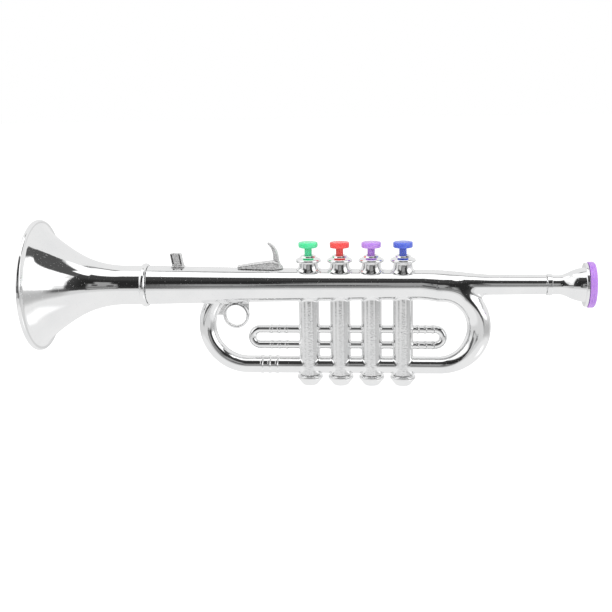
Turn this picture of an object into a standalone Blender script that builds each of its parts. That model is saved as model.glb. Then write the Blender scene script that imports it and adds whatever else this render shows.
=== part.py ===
"""Toy trumpet with four push-button valves, as separate pieces at their real size.

Lengths are in metres. X runs along the tube from the bell (-X) to the mouthpiece (+X), the valves stand up
along +Z, and the flats under the valve caps stand on Z = 0. Below, a "station" is a distance along the tube
from the plane of the bell's rim, and a "height" is a distance above the tube's axis.
"""

import math

import bmesh
import bpy
from mathutils import Matrix, Vector

# Clearances
SEAM_GAP = 0.0003
SEAT_GAP = 0.0003
RUNNING_GAP = 0.0003
OVERRUN = 0.002
MERGE = 0.00001

# Bell
BELL_LENGTH = 0.0846
BELL_RIM_RADIUS = 0.0491
BELL_BEAD_WIDTH = 0.0034
BELL_BEAD_HEIGHT = 0.0036
BELL_BEAD_FLAT = 0.0012
BELL_FLARE_LENGTH = 0.0632
BELL_THROAT_RADIUS = 0.0146
BELL_WALL = 0.0015
BELL_COLLAR_WIDTH = 0.0042
BELL_COLLAR_RISE = 0.0016
BELL_FLARE_SHARES = (
    (0.0, 1.0),
    (0.05, 0.885),
    (0.1, 0.79),
    (0.15, 0.71),
    (0.21, 0.613),
    (0.29, 0.5),
    (0.38, 0.373),
    (0.49, 0.257),
    (0.62, 0.135),
    (0.75, 0.06),
    (0.87, 0.019),
    (1.0, 0.0),
)

# Main tube
BODY_LENGTH = 0.2911
TUBE_WALL = 0.0016
TUBE_BELL_RADIUS = 0.0144
TUBE_WAIST_RADIUS = 0.0129
TUBE_WAIST_OFFSET = 0.0652
TUBE_VALVE_END_RADIUS = 0.0108
TUBE_VALVE_END_OFFSET = 0.0207
TUBE_BLEND_LENGTH = 0.046
LEADPIPE_START_RADIUS = 0.0073
LEADPIPE_END_RADIUS = 0.00695
BELL_SPIGOT_LENGTH = 0.0145
BELL_SPIGOT_WALL = 0.0016
MOUTH_SOCKET_DEPTH = 0.0143

# Valves
VALVE_COUNT = 4
FIRST_VALVE_OFFSET = 0.1194
VALVE_PITCH = 0.023
CASING_RADIUS = 0.00755
CASING_WALL = 0.0015
CASING_TAIL = 0.0007

# Loop and slides
LOOP_DROP = 0.0604
LOOP_RADIUS = 0.00635
LOOP_SWELL_RADIUS = 0.0086
LOOP_SWELL_ANGLE = math.radians(75)
LOOP_WALL = 0.0015
LOOP_LEFT_REACH = 0.046
LOOP_RIGHT_REACH = 0.0267
LOOP_RIGHT_RADIUS = 0.0286
LOOP_MERGE_LENGTH = 0.014
LOOP_MERGE_DROP = 0.002
LOOP_LEFT_END_ANGLE = math.radians(62)
LOOP_RIGHT_END_ANGLE = math.radians(90)
LOOP_BORE_END_ANGLE = math.radians(22)
LOOP_BEND_STEPS = 8
SLIDE_DROP = 0.0333
SLIDE_SPACING = 0.0119
SLIDE_RADIUS = 0.00295
SLIDE_LEFT_REACH = 0.0368
SLIDE_RIGHT_REACH = 0.0235
SLIDE_BEND_STEPS = 6
BAND_COUNT = 3
BAND_PITCH = 0.0056
BAND_WIDTH = 0.0017
BAND_RISE = 0.0004
LOOP_BAND_START = 0.0102
SLIDE_BAND_START = 0.0086
SLIDE_BAND_END = 0.0015

# Finger ring and its web
RING_RADIUS = 0.00975
RING_HOLE_RADIUS = 0.0077
RING_DEPTH = 0.005
RING_DROP = 0.0228
RING_REACH = 0.0545
WEB_DEPTH = 0.0024
WEB_INSET = 0.0004

# Locating pegs between the two halves
PEG_HEIGHT = -0.0215
PEG_BOSS_RADIUS = 0.0027
PEG_RADIUS = 0.0012
PEG_LENGTH = 0.0026

# Bottom caps
CAP_FLANGE_RADIUS = 0.0093
CAP_FLANGE_WIDTH = 0.0021
CAP_NECK_HEIGHT = 0.0004
CAP_CONE_HEIGHT = 0.0053
CAP_FLAT_RADIUS = 0.0042
CAP_SPIGOT_HEIGHT = 0.004
CAP_SPIGOT_WALL = 0.0014

# Top collars
COLLAR_TOP_HEIGHT = 0.0222
COLLAR_TOP_WALL = 0.0014
COLLAR_TOP_RADIUS = 0.0053
COLLAR_BRIM_RADIUS = 0.0093
COLLAR_BRIM_HEIGHT = 0.0182
COLLAR_BRIM_DEPTH = 0.0024
COLLAR_NECK_RADIUS = 0.0069
COLLAR_FOOT_RADIUS = 0.0089
COLLAR_FLARE_HEIGHT = 0.0046
COLLAR_FLARE_SHARE = 0.35
COLLAR_RECESS_RADIUS = 0.0038
COLLAR_RECESS_DEPTH = 0.0007
COLLAR_BORE_RADIUS = 0.0044
COLLAR_SPIGOT_RADIUS = 0.0053
COLLAR_SPIGOT_DEPTH = 0.0022

# Buttons and plungers
BUTTON_TRAVEL = 0.0045
BUTTON_PRESSED_GAP = 0.0009
BUTTON_CAP_RADIUS = 0.0071
BUTTON_CAP_HEIGHT = 0.0044
BUTTON_CAP_CROWN = 0.0003
BUTTON_CAP_ROUND = 0.0009
BUTTON_STEM_RADIUS = 0.0027
BUTTON_SOCKET_RADIUS = 0.0014
BUTTON_SOCKET_DEPTH = 0.0052
PLUNGER_PEG_LENGTH = 0.0045
PLUNGER_FLANGE_RADIUS = 0.0039
PLUNGER_FLANGE_WIDTH = 0.0014
PLUNGER_STEM_RADIUS = 0.0013
PLUNGER_HEAD_RADIUS = 0.0023
PLUNGER_HEAD_WIDTH = 0.0005

# Springs
SPRING_WIRE_RADIUS = 0.00035
SPRING_COIL_RADIUS = 0.0031
SPRING_TURNS = 4
SPRING_TURN_POINTS = 8

# Valve pads
PAD_RADIUS = 0.0037
PAD_THICKNESS = 0.0014

# Air chest, reed tray and reeds
CHEST_HALF_DEPTH = 0.0053
CHEST_WALL = 0.001
CHEST_TOP_HEIGHT = 0.0064
CHEST_UPPER_CHAMBER = 0.002
CHEST_BOTTOM_DEPTH = 0.0059
CHEST_END_REACH = 0.0113
CHEST_SEAT_RADIUS = 0.0028
CHEST_END_WALL = 0.0016
TRAY_THICKNESS = 0.001
REED_LENGTH = 0.0145
REED_DEPTH = 0.0074
REED_THICKNESS = 0.0004
REED_TONGUE_LENGTH = 0.0085
REED_TONGUE_DEPTH = 0.0019
REED_CUT = 0.0005
REED_PEG_RADIUS = 0.0007
REED_PEG_INSET = 0.0022
TRAY_SLOT_MARGIN = 0.0006

# Mouthpiece
MOUTHPIECE_LENGTH = 0.0283
MOUTH_BEAD_WIDTH = 0.0036
MOUTH_BEAD_RISE = 0.0009
MOUTH_WAIST_LENGTH = 0.0052
MOUTH_CONE_RADIUS = 0.0124
MOUTH_FLANGE_RADIUS = 0.0159
MOUTH_FLANGE_WIDTH = 0.0021
MOUTH_CUP_RADIUS = 0.0108
MOUTH_CUP_DEPTH = 0.0145
MOUTH_THROAT_RADIUS = 0.0022
MOUTH_SHANK_WALL = 0.0014
MOUTH_CONE_SHARES = ((1.0, 1.0), (0.8, 0.9), (0.55, 0.66), (0.35, 0.36), (0.15, 0.1), (0.0, 0.0))
MOUTH_CUP_SHARES = (0.0, 0.35, 0.65, 0.85, 1.0)

# Mouthpiece rim
RIM_WIDTH = 0.0051
RIM_RADIUS = 0.0166
RIM_HOLE_RADIUS = 0.0112
RIM_ROUND = 0.0024
RIM_INNER_ROUND = 0.0006
RIM_ROUND_SHARES = (0.0, 0.35, 0.7, 1.0)

# Finger hook
HOOK_END_OFFSET = 0.0183
HOOK_LENGTH = 0.0342
HOOK_FRONT_HEIGHT = 0.0145
HOOK_REAR_HEIGHT = 0.0181
HOOK_HALF_DEPTH = 0.0049
HOOK_BASE_SHARES = ((1.0, -0.3), (0.91, 0.5), (0.78, 1.0), (0.39, 0.58), (0.0, 0.0))
HOOK_PLAN_SHARES = ((0.0, 0.78), (0.78, 1.0), (0.91, 0.78), (1.0, 0.39))
HOOK_TOP_HEIGHT = 0.0317
HOOK_BAND_HALF_DEPTH = 0.003
HOOK_BAND_SHARES = (
    (0.80, 0.0),
    (0.79, 0.14),
    (0.775, 0.5),
    (0.735, 0.76),
    (0.66, 0.95),
    (0.685, 1.0),
    (0.775, 0.86),
    (0.845, 0.66),
    (0.885, 0.42),
    (0.9, 0.16),
    (0.91, 0.0),
)
HOOK_PIN_RADIUS = 0.0013
HOOK_PIN_SHARES = (0.25, 0.75)

# Lyre socket
LYRE_OFFSET = 0.0226
LYRE_LENGTH = 0.0081
LYRE_DEPTH = 0.0054
LYRE_WALL = 0.0012
LYRE_HEIGHT = 0.0237
LYRE_POCKET_DEPTH = 0.0075
LYRE_LEAN = math.radians(10)
LYRE_PIN_RADIUS = 0.0013
PIN_DEPTH = 0.0012

# Shares that round the edges of beads and discs
CREST_SHARE = 0.25
SLANT_SHARE = 0.3

# Facets round each turned piece, and the bevel resolution of each pipe
BELL_FACETS = 24
TUBE_FACETS = 20
CASING_FACETS = 16
COLLAR_FACETS = 12
CAP_FACETS = 12
BUTTON_FACETS = 16
SMALL_FACETS = 8
MOUTH_FACETS = 20
PIN_FACETS = 8
LOOP_RESOLUTION = 3
PIPE_RESOLUTION = 2
SPRING_RESOLUTION = 1

# Places worked out from the sizes above
SHOULDER = BELL_LENGTH + SEAT_GAP
BODY_END = SHOULDER + BODY_LENGTH
MOUTHPIECE_START = BODY_END + SEAT_GAP
MOUTHPIECE_END = MOUTHPIECE_START + MOUTHPIECE_LENGTH
RIM_START = MOUTHPIECE_END + SEAT_GAP
OVERALL_LENGTH = RIM_START + RIM_WIDTH
VALVES = [SHOULDER + FIRST_VALVE_OFFSET + VALVE_PITCH * n for n in range(VALVE_COUNT)]
CASING_BOTTOM = LOOP_DROP + LOOP_RADIUS + CASING_TAIL
CAP_FLANGE_TOP = CASING_BOTTOM + SEAT_GAP
AXIS_HEIGHT = CAP_FLANGE_TOP + CAP_NECK_HEIGHT + CAP_FLANGE_WIDTH + CAP_CONE_HEIGHT
BELL_BORE_RADIUS = BELL_THROAT_RADIUS - BELL_WALL
SPIGOT_RADIUS = BELL_BORE_RADIUS - SEAT_GAP
CHEST_START = VALVES[0] - CHEST_END_REACH
CHEST_END = VALVES[-1] + CHEST_END_REACH
CHEST_PLATE_TOP = CHEST_TOP_HEIGHT - CHEST_WALL - CHEST_UPPER_CHAMBER
CHEST_PLATE_BOTTOM = CHEST_PLATE_TOP - CHEST_WALL
TRAY_TOP = -CHEST_BOTTOM_DEPTH - SEAT_GAP
STOP_TOP = COLLAR_TOP_HEIGHT - COLLAR_TOP_WALL - RUNNING_GAP
STOP_BOTTOM = STOP_TOP - PLUNGER_FLANGE_WIDTH
BUTTON_CAP_UNDERSIDE = COLLAR_TOP_HEIGHT + BUTTON_TRAVEL + BUTTON_PRESSED_GAP
PAD_TOP = CHEST_PLATE_BOTTOM - SEAT_GAP
PAD_BOTTOM = PAD_TOP - PAD_THICKNESS

COLOURS = {
    "chrome": ((0.86, 0.87, 0.88), 0.08, 1.0),
    "worn_chrome": ((0.6, 0.6, 0.6), 0.3, 1.0),
    "button_green": ((0.07, 0.72, 0.31), 0.25, 0.0),
    "button_red": ((0.9, 0.06, 0.06), 0.25, 0.0),
    "button_purple": ((0.5, 0.22, 0.82), 0.25, 0.0),
    "button_blue": ((0.07, 0.11, 0.68), 0.25, 0.0),
    "rim_purple": ((0.45, 0.2, 0.78), 0.35, 0.0),
    "white_plastic": ((0.8, 0.8, 0.78), 0.45, 0.0),
    "rubber": ((0.05, 0.05, 0.05), 0.8, 0.0),
    "brass": ((0.8, 0.58, 0.25), 0.25, 1.0),
    "steel": ((0.55, 0.56, 0.58), 0.25, 1.0),
}
BUTTON_COLOURS = ("green", "red", "purple", "blue")


def clear_scene():
    for obj in list(bpy.data.objects):
        bpy.data.objects.remove(obj, do_unlink=True)


def collection(name):
    group = bpy.data.collections.new(name)
    bpy.context.scene.collection.children.link(group)
    return group


def material(name):
    made = bpy.data.materials.get(name)
    if made is None:
        made = bpy.data.materials.new(name)
        made.use_nodes = True
        shader = made.node_tree.nodes["Principled BSDF"]
        colour, roughness, metallic = COLOURS[name]
        shader.inputs["Base Color"].default_value = (*colour, 1.0)
        shader.inputs["Roughness"].default_value = roughness
        shader.inputs["Metallic"].default_value = metallic
    return made


def place(station, height=0.0, side=0.0):
    """World position of a point from its station, its height over the axis and its distance to the side."""
    return Vector((station - OVERALL_LENGTH / 2, side, AXIS_HEIGHT + height))


def add(name, mesh, location=Vector((0, 0, 0)), matrix=None):
    obj = bpy.data.objects.new(name, mesh)
    obj.matrix_world = matrix if matrix is not None else Matrix.Translation(location)
    tools.objects.link(obj)
    return obj


def half_facet(facets):
    """A turn about Z that takes the corners of a round form off the planes through its axis."""
    return Matrix.Rotation(math.pi / facets, 4, "Z")


def turned(name, profile, facets, location, along_tube=False, closed=False, on_axes=False):
    """A profile of (radius, height) points turned about Z, or about X with along_tube.

    It runs down its outer side. With on_axes the corners of its facets lie on the axes, so that the piece
    measures its full diameter.
    """
    mesh = bpy.data.meshes.new(name)
    count = len(profile)
    edges = [(n, n + 1) for n in range(count - 1)]
    if closed:
        edges.append((count - 1, 0))
    mesh.from_pydata([(radius, 0.0, height) for radius, height in profile], edges, [])
    matrix = Matrix.Translation(location)
    if along_tube:
        matrix = matrix @ Matrix.Rotation(math.radians(90), 4, "Y")
    if not on_axes:
        matrix = matrix @ half_facet(facets)
    obj = add(name, mesh, matrix=matrix)
    screw = obj.modifiers.new("Turn", "SCREW")
    screw.axis = "Z"
    screw.steps = facets
    screw.render_steps = facets
    screw.use_merge_vertices = True
    screw.merge_threshold = MERGE
    screw.use_smooth_shade = True
    return obj


def block(name, low, high):
    """A box between two corners, each (station, side, height)."""
    mesh = bpy.data.meshes.new(name)
    shape = bmesh.new()
    bmesh.ops.create_cube(shape, size=1.0)
    size = Vector(high) - Vector(low)
    middle = (Vector(high) + Vector(low)) / 2
    bmesh.ops.scale(shape, vec=size, verts=shape.verts)
    bmesh.ops.translate(shape, vec=middle, verts=shape.verts)
    shape.to_mesh(mesh)
    shape.free()
    return add(name, mesh, location=place(0.0))


def rod(name, radius, bottom, top, facets, station, height=0.0, tilt=None, on_axes=False):
    """A cylinder along Z between two distances from a point, tilted by a matrix about that point."""
    mesh = bpy.data.meshes.new(name)
    shape = bmesh.new()
    bmesh.ops.create_cone(
        shape, cap_ends=True, segments=facets, radius1=radius, radius2=radius, depth=top - bottom
    )
    bmesh.ops.translate(shape, vec=Vector((0, 0, (top + bottom) / 2)), verts=shape.verts)
    shape.to_mesh(mesh)
    shape.free()
    matrix = Matrix.Translation(place(station, height))
    if tilt is not None:
        matrix = matrix @ tilt
    if not on_axes:
        matrix = matrix @ half_facet(facets)
    return add(name, mesh, matrix=matrix)


def pipe(name, route, resolution, ring=False):
    """A round tube along a route of (point, radius) pairs, welded into a closed mesh, or a ring of tube."""
    curve = bpy.data.curves.new(name, "CURVE")
    curve.dimensions = "3D"
    curve.bevel_depth = 1.0
    curve.bevel_resolution = resolution
    curve.use_fill_caps = True
    spline = curve.splines.new("POLY")
    spline.use_cyclic_u = ring
    spline.points.add(len(route) - 1)
    # A bevel has four sides and two more for each step of its resolution.
    sides = 4 + 2 * resolution
    for point, (where, radius) in zip(spline.points, route):
        point.co = (*where, 1.0)
        point.radius = radius
        point.tilt = math.pi / sides
    return welded(add(name, curve))


def plate(name, outlines, half_depth, matrix):
    """A flat plate with the given outlines, the first one round the others, thickened both ways."""
    curve = bpy.data.curves.new(name, "CURVE")
    curve.dimensions = "2D"
    curve.fill_mode = "BOTH"
    curve.extrude = half_depth
    for outline in outlines:
        spline = curve.splines.new("POLY")
        spline.points.add(len(outline) - 1)
        spline.use_cyclic_u = True
        for point, (x, y) in zip(spline.points, outline):
            point.co = (x, y, 0.0, 1.0)
    return welded(add(name, curve, matrix=matrix))


def evaluated_mesh(obj):
    bpy.context.view_layer.update()
    graph = bpy.context.evaluated_depsgraph_get()
    return bpy.data.meshes.new_from_object(obj.evaluated_get(graph), depsgraph=graph)


def welded(obj):
    """Swaps a curve object for a mesh object whose caps are joined to its wall."""
    mesh = evaluated_mesh(obj)
    shape = bmesh.new()
    shape.from_mesh(mesh)
    bmesh.ops.remove_doubles(shape, verts=shape.verts, dist=MERGE)
    bmesh.ops.recalc_face_normals(shape, faces=shape.faces)
    shape.to_mesh(mesh)
    shape.free()
    name = obj.name
    matrix = obj.matrix_world.copy()
    bpy.data.objects.remove(obj, do_unlink=True)
    return add(name, mesh, matrix=matrix)


def combine(target, others, operation):
    for other in others:
        step = target.modifiers.new(operation.title(), "BOOLEAN")
        step.operation = operation
        step.solver = "EXACT"
        step.object = other
        other.hide_render = True
        other.display_type = "WIRE"


def join(target, *others):
    combine(target, others, "UNION")


def cut(target, *others):
    combine(target, others, "DIFFERENCE")


def keep(target, *others):
    combine(target, others, "INTERSECT")


def settle(obj):
    """Makes the modifiers' result the object's own mesh, clean of slivers."""
    mesh = evaluated_mesh(obj)
    shape = bmesh.new()
    shape.from_mesh(mesh)
    bmesh.ops.remove_doubles(shape, verts=shape.verts, dist=MERGE)
    bmesh.ops.dissolve_degenerate(shape, dist=MERGE, edges=shape.edges)
    shape.to_mesh(mesh)
    shape.free()
    obj.modifiers.clear()
    obj.data = mesh
    return obj


def finished(obj, name, material_name):
    """Moves a piece from the tools to the trumpet under its own name and with its own material."""
    obj.name = name
    obj.data.name = name
    obj.data.materials.clear()
    obj.data.materials.append(material(material_name))
    tools.objects.unlink(obj)
    trumpet.objects.link(obj)
    return obj


def smooth_step(share):
    return share * share * (3 - 2 * share)


def tube_radius(station):
    """Outer radius of the main tube: two straight tapers, a smooth blend and the lead pipe."""
    waist = SHOULDER + TUBE_WAIST_OFFSET
    valve_end = VALVES[-1] + TUBE_VALVE_END_OFFSET
    pipe_start = valve_end + TUBE_BLEND_LENGTH
    if station <= waist:
        share = max(0.0, (station - SHOULDER) / TUBE_WAIST_OFFSET)
        return TUBE_BELL_RADIUS + (TUBE_WAIST_RADIUS - TUBE_BELL_RADIUS) * share
    if station <= valve_end:
        share = (station - waist) / (valve_end - waist)
        return TUBE_WAIST_RADIUS + (TUBE_VALVE_END_RADIUS - TUBE_WAIST_RADIUS) * share
    if station <= pipe_start:
        share = smooth_step((station - valve_end) / TUBE_BLEND_LENGTH)
        return TUBE_VALVE_END_RADIUS + (LEADPIPE_START_RADIUS - TUBE_VALVE_END_RADIUS) * share
    share = min(1.0, (station - pipe_start) / (BODY_END - pipe_start))
    return LEADPIPE_START_RADIUS + (LEADPIPE_END_RADIUS - LEADPIPE_START_RADIUS) * share


def tube_stations():
    valve_end = VALVES[-1] + TUBE_VALVE_END_OFFSET
    blend_shares = (0.0, 0.2, 0.4, 0.6, 0.8, 1.0)
    blend = [valve_end + TUBE_BLEND_LENGTH * share for share in blend_shares]
    return [SHOULDER, SHOULDER + TUBE_WAIST_OFFSET, *blend, BODY_END]


def tube_form(name, growth, start, end):
    """The main tube as a solid, its surface moved out by growth, between two stations."""
    stations = [start, *[s for s in tube_stations() if start < s < end], end]
    outer = [(tube_radius(s) + growth, s) for s in reversed(stations)]
    return turned(name, [(0.0, end), *outer, (0.0, start)], TUBE_FACETS, place(0.0), along_tube=True)


def bend(centre, radius, start, end, steps):
    """Points on an arc in the plane of the loop; angle 0 points to the mouthpiece and 90 degrees up."""
    points = []
    for n in range(steps + 1):
        angle = start + (end - start) * n / steps
        station = centre[0] + radius * math.cos(angle)
        points.append(place(station, centre[1] + radius * math.sin(angle)))
    return points


def banded(start, end, distances, radius):
    """A straight run between two points with a raised band at each distance from its start."""
    run = (end - start).normalized()
    half = run * (BAND_WIDTH / 2)
    route = [(start, radius)]
    for distance in distances:
        middle = start + run * distance
        route += [(middle - half, radius), (middle, radius + BAND_RISE), (middle + half, radius)]
    route.append((end, radius))
    return route


def loop_route(shrink, left_end, right_end):
    """The loop's centre line from inside the tube near the bell, down, along and up behind the valves."""
    left_radius = LOOP_DROP / 2
    quarter = math.radians(90)
    left = (VALVES[0] - LOOP_LEFT_REACH, -left_radius)
    right = (VALVES[-1] + LOOP_RIGHT_REACH, LOOP_RIGHT_RADIUS - LOOP_DROP)
    narrow = LOOP_RADIUS - shrink
    wide = LOOP_SWELL_RADIUS - shrink
    falling = bend(left, left_radius, 2 * quarter - left_end, 3 * quarter, LOOP_BEND_STEPS)
    rising = bend(right, LOOP_RIGHT_RADIUS, -quarter, right_end, LOOP_BEND_STEPS)
    route = [(point, narrow) for point in falling]
    for n, point in enumerate(rising):
        turn = (right_end + quarter) * n / LOOP_BEND_STEPS
        share = smooth_step(min(1.0, turn / LOOP_SWELL_ANGLE))
        route.append((point, narrow + (wide - narrow) * share))
    return route


def loop_forms():
    outer = loop_route(0.0, LOOP_LEFT_END_ANGLE, LOOP_RIGHT_END_ANGLE)
    low_left = LOOP_BEND_STEPS
    low_right = LOOP_BEND_STEPS + 1
    distances = [LOOP_BAND_START + BAND_PITCH * n for n in range(BAND_COUNT)]
    run = banded(outer[low_left][0], outer[low_right][0], distances, LOOP_RADIUS)
    merge = place(VALVES[-1] + LOOP_RIGHT_REACH - LOOP_MERGE_LENGTH, -LOOP_MERGE_DROP)
    outer = outer[:low_left] + run + outer[low_right + 1:] + [(merge, LOOP_RADIUS)]
    inner = loop_route(LOOP_WALL, LOOP_BORE_END_ANGLE, LOOP_BORE_END_ANGLE)
    return pipe("loop_form", outer, LOOP_RESOLUTION), pipe("loop_bore", inner, PIPE_RESOLUTION)


def slide_form():
    """The two banded slide tubes with a half-round bend at each end, as one ring."""
    radius = SLIDE_SPACING / 2
    quarter = math.radians(90)
    middle = -SLIDE_DROP - radius
    left = bend((VALVES[0] - SLIDE_LEFT_REACH, middle), radius, quarter, 3 * quarter, SLIDE_BEND_STEPS)
    right = bend((VALVES[-1] + SLIDE_RIGHT_REACH, middle), radius, -quarter, quarter, SLIDE_BEND_STEPS)
    length = (right[0] - left[-1]).length
    from_left = [SLIDE_BAND_START + BAND_PITCH * n for n in range(BAND_COUNT)]
    from_right = [SLIDE_BAND_END + BAND_PITCH * n for n in range(BAND_COUNT)]
    along = [*from_left, *[length - d for d in reversed(from_right)]]
    back = [*from_right, *[length - d for d in reversed(from_left)]]
    lower = banded(left[-1], right[0], along, SLIDE_RADIUS)
    upper = banded(right[-1], left[0], back, SLIDE_RADIUS)
    left_bend = [(point, SLIDE_RADIUS) for point in left[1:-1]]
    right_bend = [(point, SLIDE_RADIUS) for point in right[1:-1]]
    return pipe("slide_form", [*left_bend, *lower, *right_bend, *upper], PIPE_RESOLUTION, ring=True)


def ring_forms():
    """The finger ring under the tube, its hole, and the flat web that fills the corners above it."""
    station = VALVES[0] - RING_REACH
    across = Matrix.Rotation(math.radians(90), 4, "X")
    ring = rod(
        "ring", RING_RADIUS, -RING_DEPTH / 2, RING_DEPTH / 2, CASING_FACETS, station, -RING_DROP, tilt=across
    )
    hole = rod(
        "ring_hole", RING_HOLE_RADIUS, -RING_DEPTH, RING_DEPTH, CASING_FACETS, station, -RING_DROP,
        tilt=across,
    )
    loop_centre = VALVES[0] - LOOP_LEFT_REACH - LOOP_DROP / 2
    web = block(
        "web",
        (loop_centre, -WEB_DEPTH / 2, -RING_DROP),
        (station + RING_RADIUS - WEB_INSET, WEB_DEPTH / 2, -tube_radius(station) + TUBE_WALL / 2),
    )
    return ring, web, hole


def tube_bore(name):
    """The air way inside the main tube, open at both ends, with the socket for the mouthpiece shank."""
    start = SHOULDER - BELL_SPIGOT_LENGTH
    socket = BODY_END - MOUTH_SOCKET_DEPTH
    socket_radius = LEADPIPE_END_RADIUS - MOUTH_SHANK_WALL
    spigot_bore = SPIGOT_RADIUS - BELL_SPIGOT_WALL
    stations = [s for s in tube_stations() if SHOULDER < s < socket]
    profile = [(0.0, BODY_END + OVERRUN), (socket_radius, BODY_END + OVERRUN), (socket_radius, socket)]
    profile += [(tube_radius(s) - TUBE_WALL, s) for s in reversed(stations)]
    profile += [(spigot_bore, SHOULDER), (spigot_bore, start - OVERRUN), (0.0, start - OVERRUN)]
    return turned(name, profile, TUBE_FACETS, place(0.0), along_tube=True, on_axes=True)


def pin_holes():
    """Holes in the top of the tube for the collars' spigots and the pins of the hook and the lyre socket."""
    holes = []
    for n, station in enumerate(VALVES):
        radius = COLLAR_SPIGOT_RADIUS + SEAT_GAP
        top = tube_radius(station) + OVERRUN
        holes.append(rod(f"collar_hole_{n + 1}", radius, 0.0, top, COLLAR_FACETS, station))
    for n, station in enumerate(hook_pins()):
        top = tube_radius(station) + OVERRUN
        holes.append(rod(f"hook_hole_{n + 1}", HOOK_PIN_RADIUS + SEAT_GAP, 0.0, top, PIN_FACETS, station))
    station = SHOULDER + LYRE_OFFSET
    top = tube_radius(station) + OVERRUN
    holes.append(rod("lyre_hole", LYRE_PIN_RADIUS + SEAT_GAP, 0.0, top, PIN_FACETS, station))
    return holes


def body_halves():
    """The clam-shell moulding, made whole and then parted along the seam."""
    tube = tube_form("tube_form", 0.0, SHOULDER, BODY_END)
    spigot_start = SHOULDER - BELL_SPIGOT_LENGTH
    spigot = rod(
        "bell_spigot", SPIGOT_RADIUS, 0.0, BELL_SPIGOT_LENGTH + TUBE_WALL, TUBE_FACETS, spigot_start,
        tilt=Matrix.Rotation(math.radians(90), 4, "Y"), on_axes=True,
    )
    loop, loop_bore = loop_forms()
    ring, web, ring_hole = ring_forms()
    casings = []
    casing_bores = []
    for n, station in enumerate(VALVES):
        casings.append(rod(f"casing_{n + 1}", CASING_RADIUS, -CASING_BOTTOM, 0.0, CASING_FACETS, station))
        roof = -tube_radius(station) - TUBE_WALL
        casing_bores.append(
            rod(f"casing_bore_{n + 1}", CASING_RADIUS - CASING_WALL, -CASING_BOTTOM - OVERRUN, roof,
                CASING_FACETS, station)
        )
    join(tube, spigot, loop, slide_form(), *casings, web, ring)
    cut(tube, tube_bore("tube_bore"), loop_bore, *casing_bores, ring_hole, *pin_holes())
    settle(tube)

    wide = BELL_RIM_RADIUS + OVERRUN
    low = -AXIS_HEIGHT - OVERRUN
    behind = block("behind_seam", (0.0, -SEAM_GAP / 2, low), (OVERALL_LENGTH, wide, wide))
    ahead = block("ahead_of_seam", (0.0, -wide, low), (OVERALL_LENGTH, SEAM_GAP / 2, wide))
    back = add("back_form", tube.data.copy(), matrix=tube.matrix_world)
    cut(tube, behind)
    cut(back, ahead)
    across = Matrix.Rotation(math.radians(90), 4, "X")
    inner = CASING_RADIUS - CASING_WALL / 2
    for n, station in enumerate(VALVES):
        names = [f"{kind}_{n + 1}" for kind in ("front_boss", "front_peg", "back_boss", "peg_hole")]
        spans = (
            (PEG_BOSS_RADIUS, SEAM_GAP / 2, inner),
            (PEG_RADIUS, -PEG_LENGTH, inner),
            (PEG_BOSS_RADIUS, -inner, -SEAM_GAP / 2),
            (PEG_RADIUS + SEAT_GAP, -PEG_LENGTH - SEAT_GAP, 0.0),
        )
        forms = [
            rod(name, radius, bottom, top, PIN_FACETS, station, PEG_HEIGHT, tilt=across)
            for name, (radius, bottom, top) in zip(names, spans)
        ]
        join(tube, forms[0], forms[1])
        join(back, forms[2])
        cut(back, forms[3])
    finished(settle(tube), "body_front", "chrome")
    finished(settle(back), "body_back", "chrome")


def bell():
    """The bell: a flared shell with a rolled rim and a raised collar where it meets the body."""
    mouth = BELL_RIM_RADIUS - BELL_BEAD_HEIGHT
    half_width = BELL_BEAD_WIDTH / 2
    outer = []
    for along, out in BELL_FLARE_SHARES:
        radius = BELL_THROAT_RADIUS + (mouth - BELL_THROAT_RADIUS) * out
        outer.append((radius, BELL_BEAD_WIDTH + BELL_FLARE_LENGTH * along))
    inner = [(radius - BELL_WALL, station) for radius, station in outer[::2]]
    collar_radius = BELL_THROAT_RADIUS + BELL_COLLAR_RISE
    collar_start = BELL_LENGTH - BELL_COLLAR_WIDTH
    collar = [
        (BELL_BORE_RADIUS, BELL_LENGTH),
        (collar_radius - BELL_COLLAR_RISE * CREST_SHARE, BELL_LENGTH),
        (collar_radius, BELL_LENGTH - BELL_COLLAR_WIDTH * CREST_SHARE),
        (collar_radius, collar_start + BELL_COLLAR_WIDTH * CREST_SHARE),
        (BELL_THROAT_RADIUS, collar_start),
    ]
    flat_middle = BELL_RIM_RADIUS - half_width
    bead = [
        (BELL_RIM_RADIUS - half_width * CREST_SHARE, BELL_BEAD_WIDTH - half_width * CREST_SHARE),
        (BELL_RIM_RADIUS, half_width),
        (BELL_RIM_RADIUS - half_width * CREST_SHARE, half_width * CREST_SHARE),
        (flat_middle + BELL_BEAD_FLAT / 2, 0.0),
        (flat_middle - BELL_BEAD_FLAT / 2, 0.0),
        (mouth - BELL_WALL / 2, half_width),
    ]
    profile = collar + outer[::-1] + bead + inner
    obj = turned("bell", profile, BELL_FACETS, place(0.0), along_tube=True, closed=True, on_axes=True)
    finished(obj, "bell", "chrome")


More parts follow.
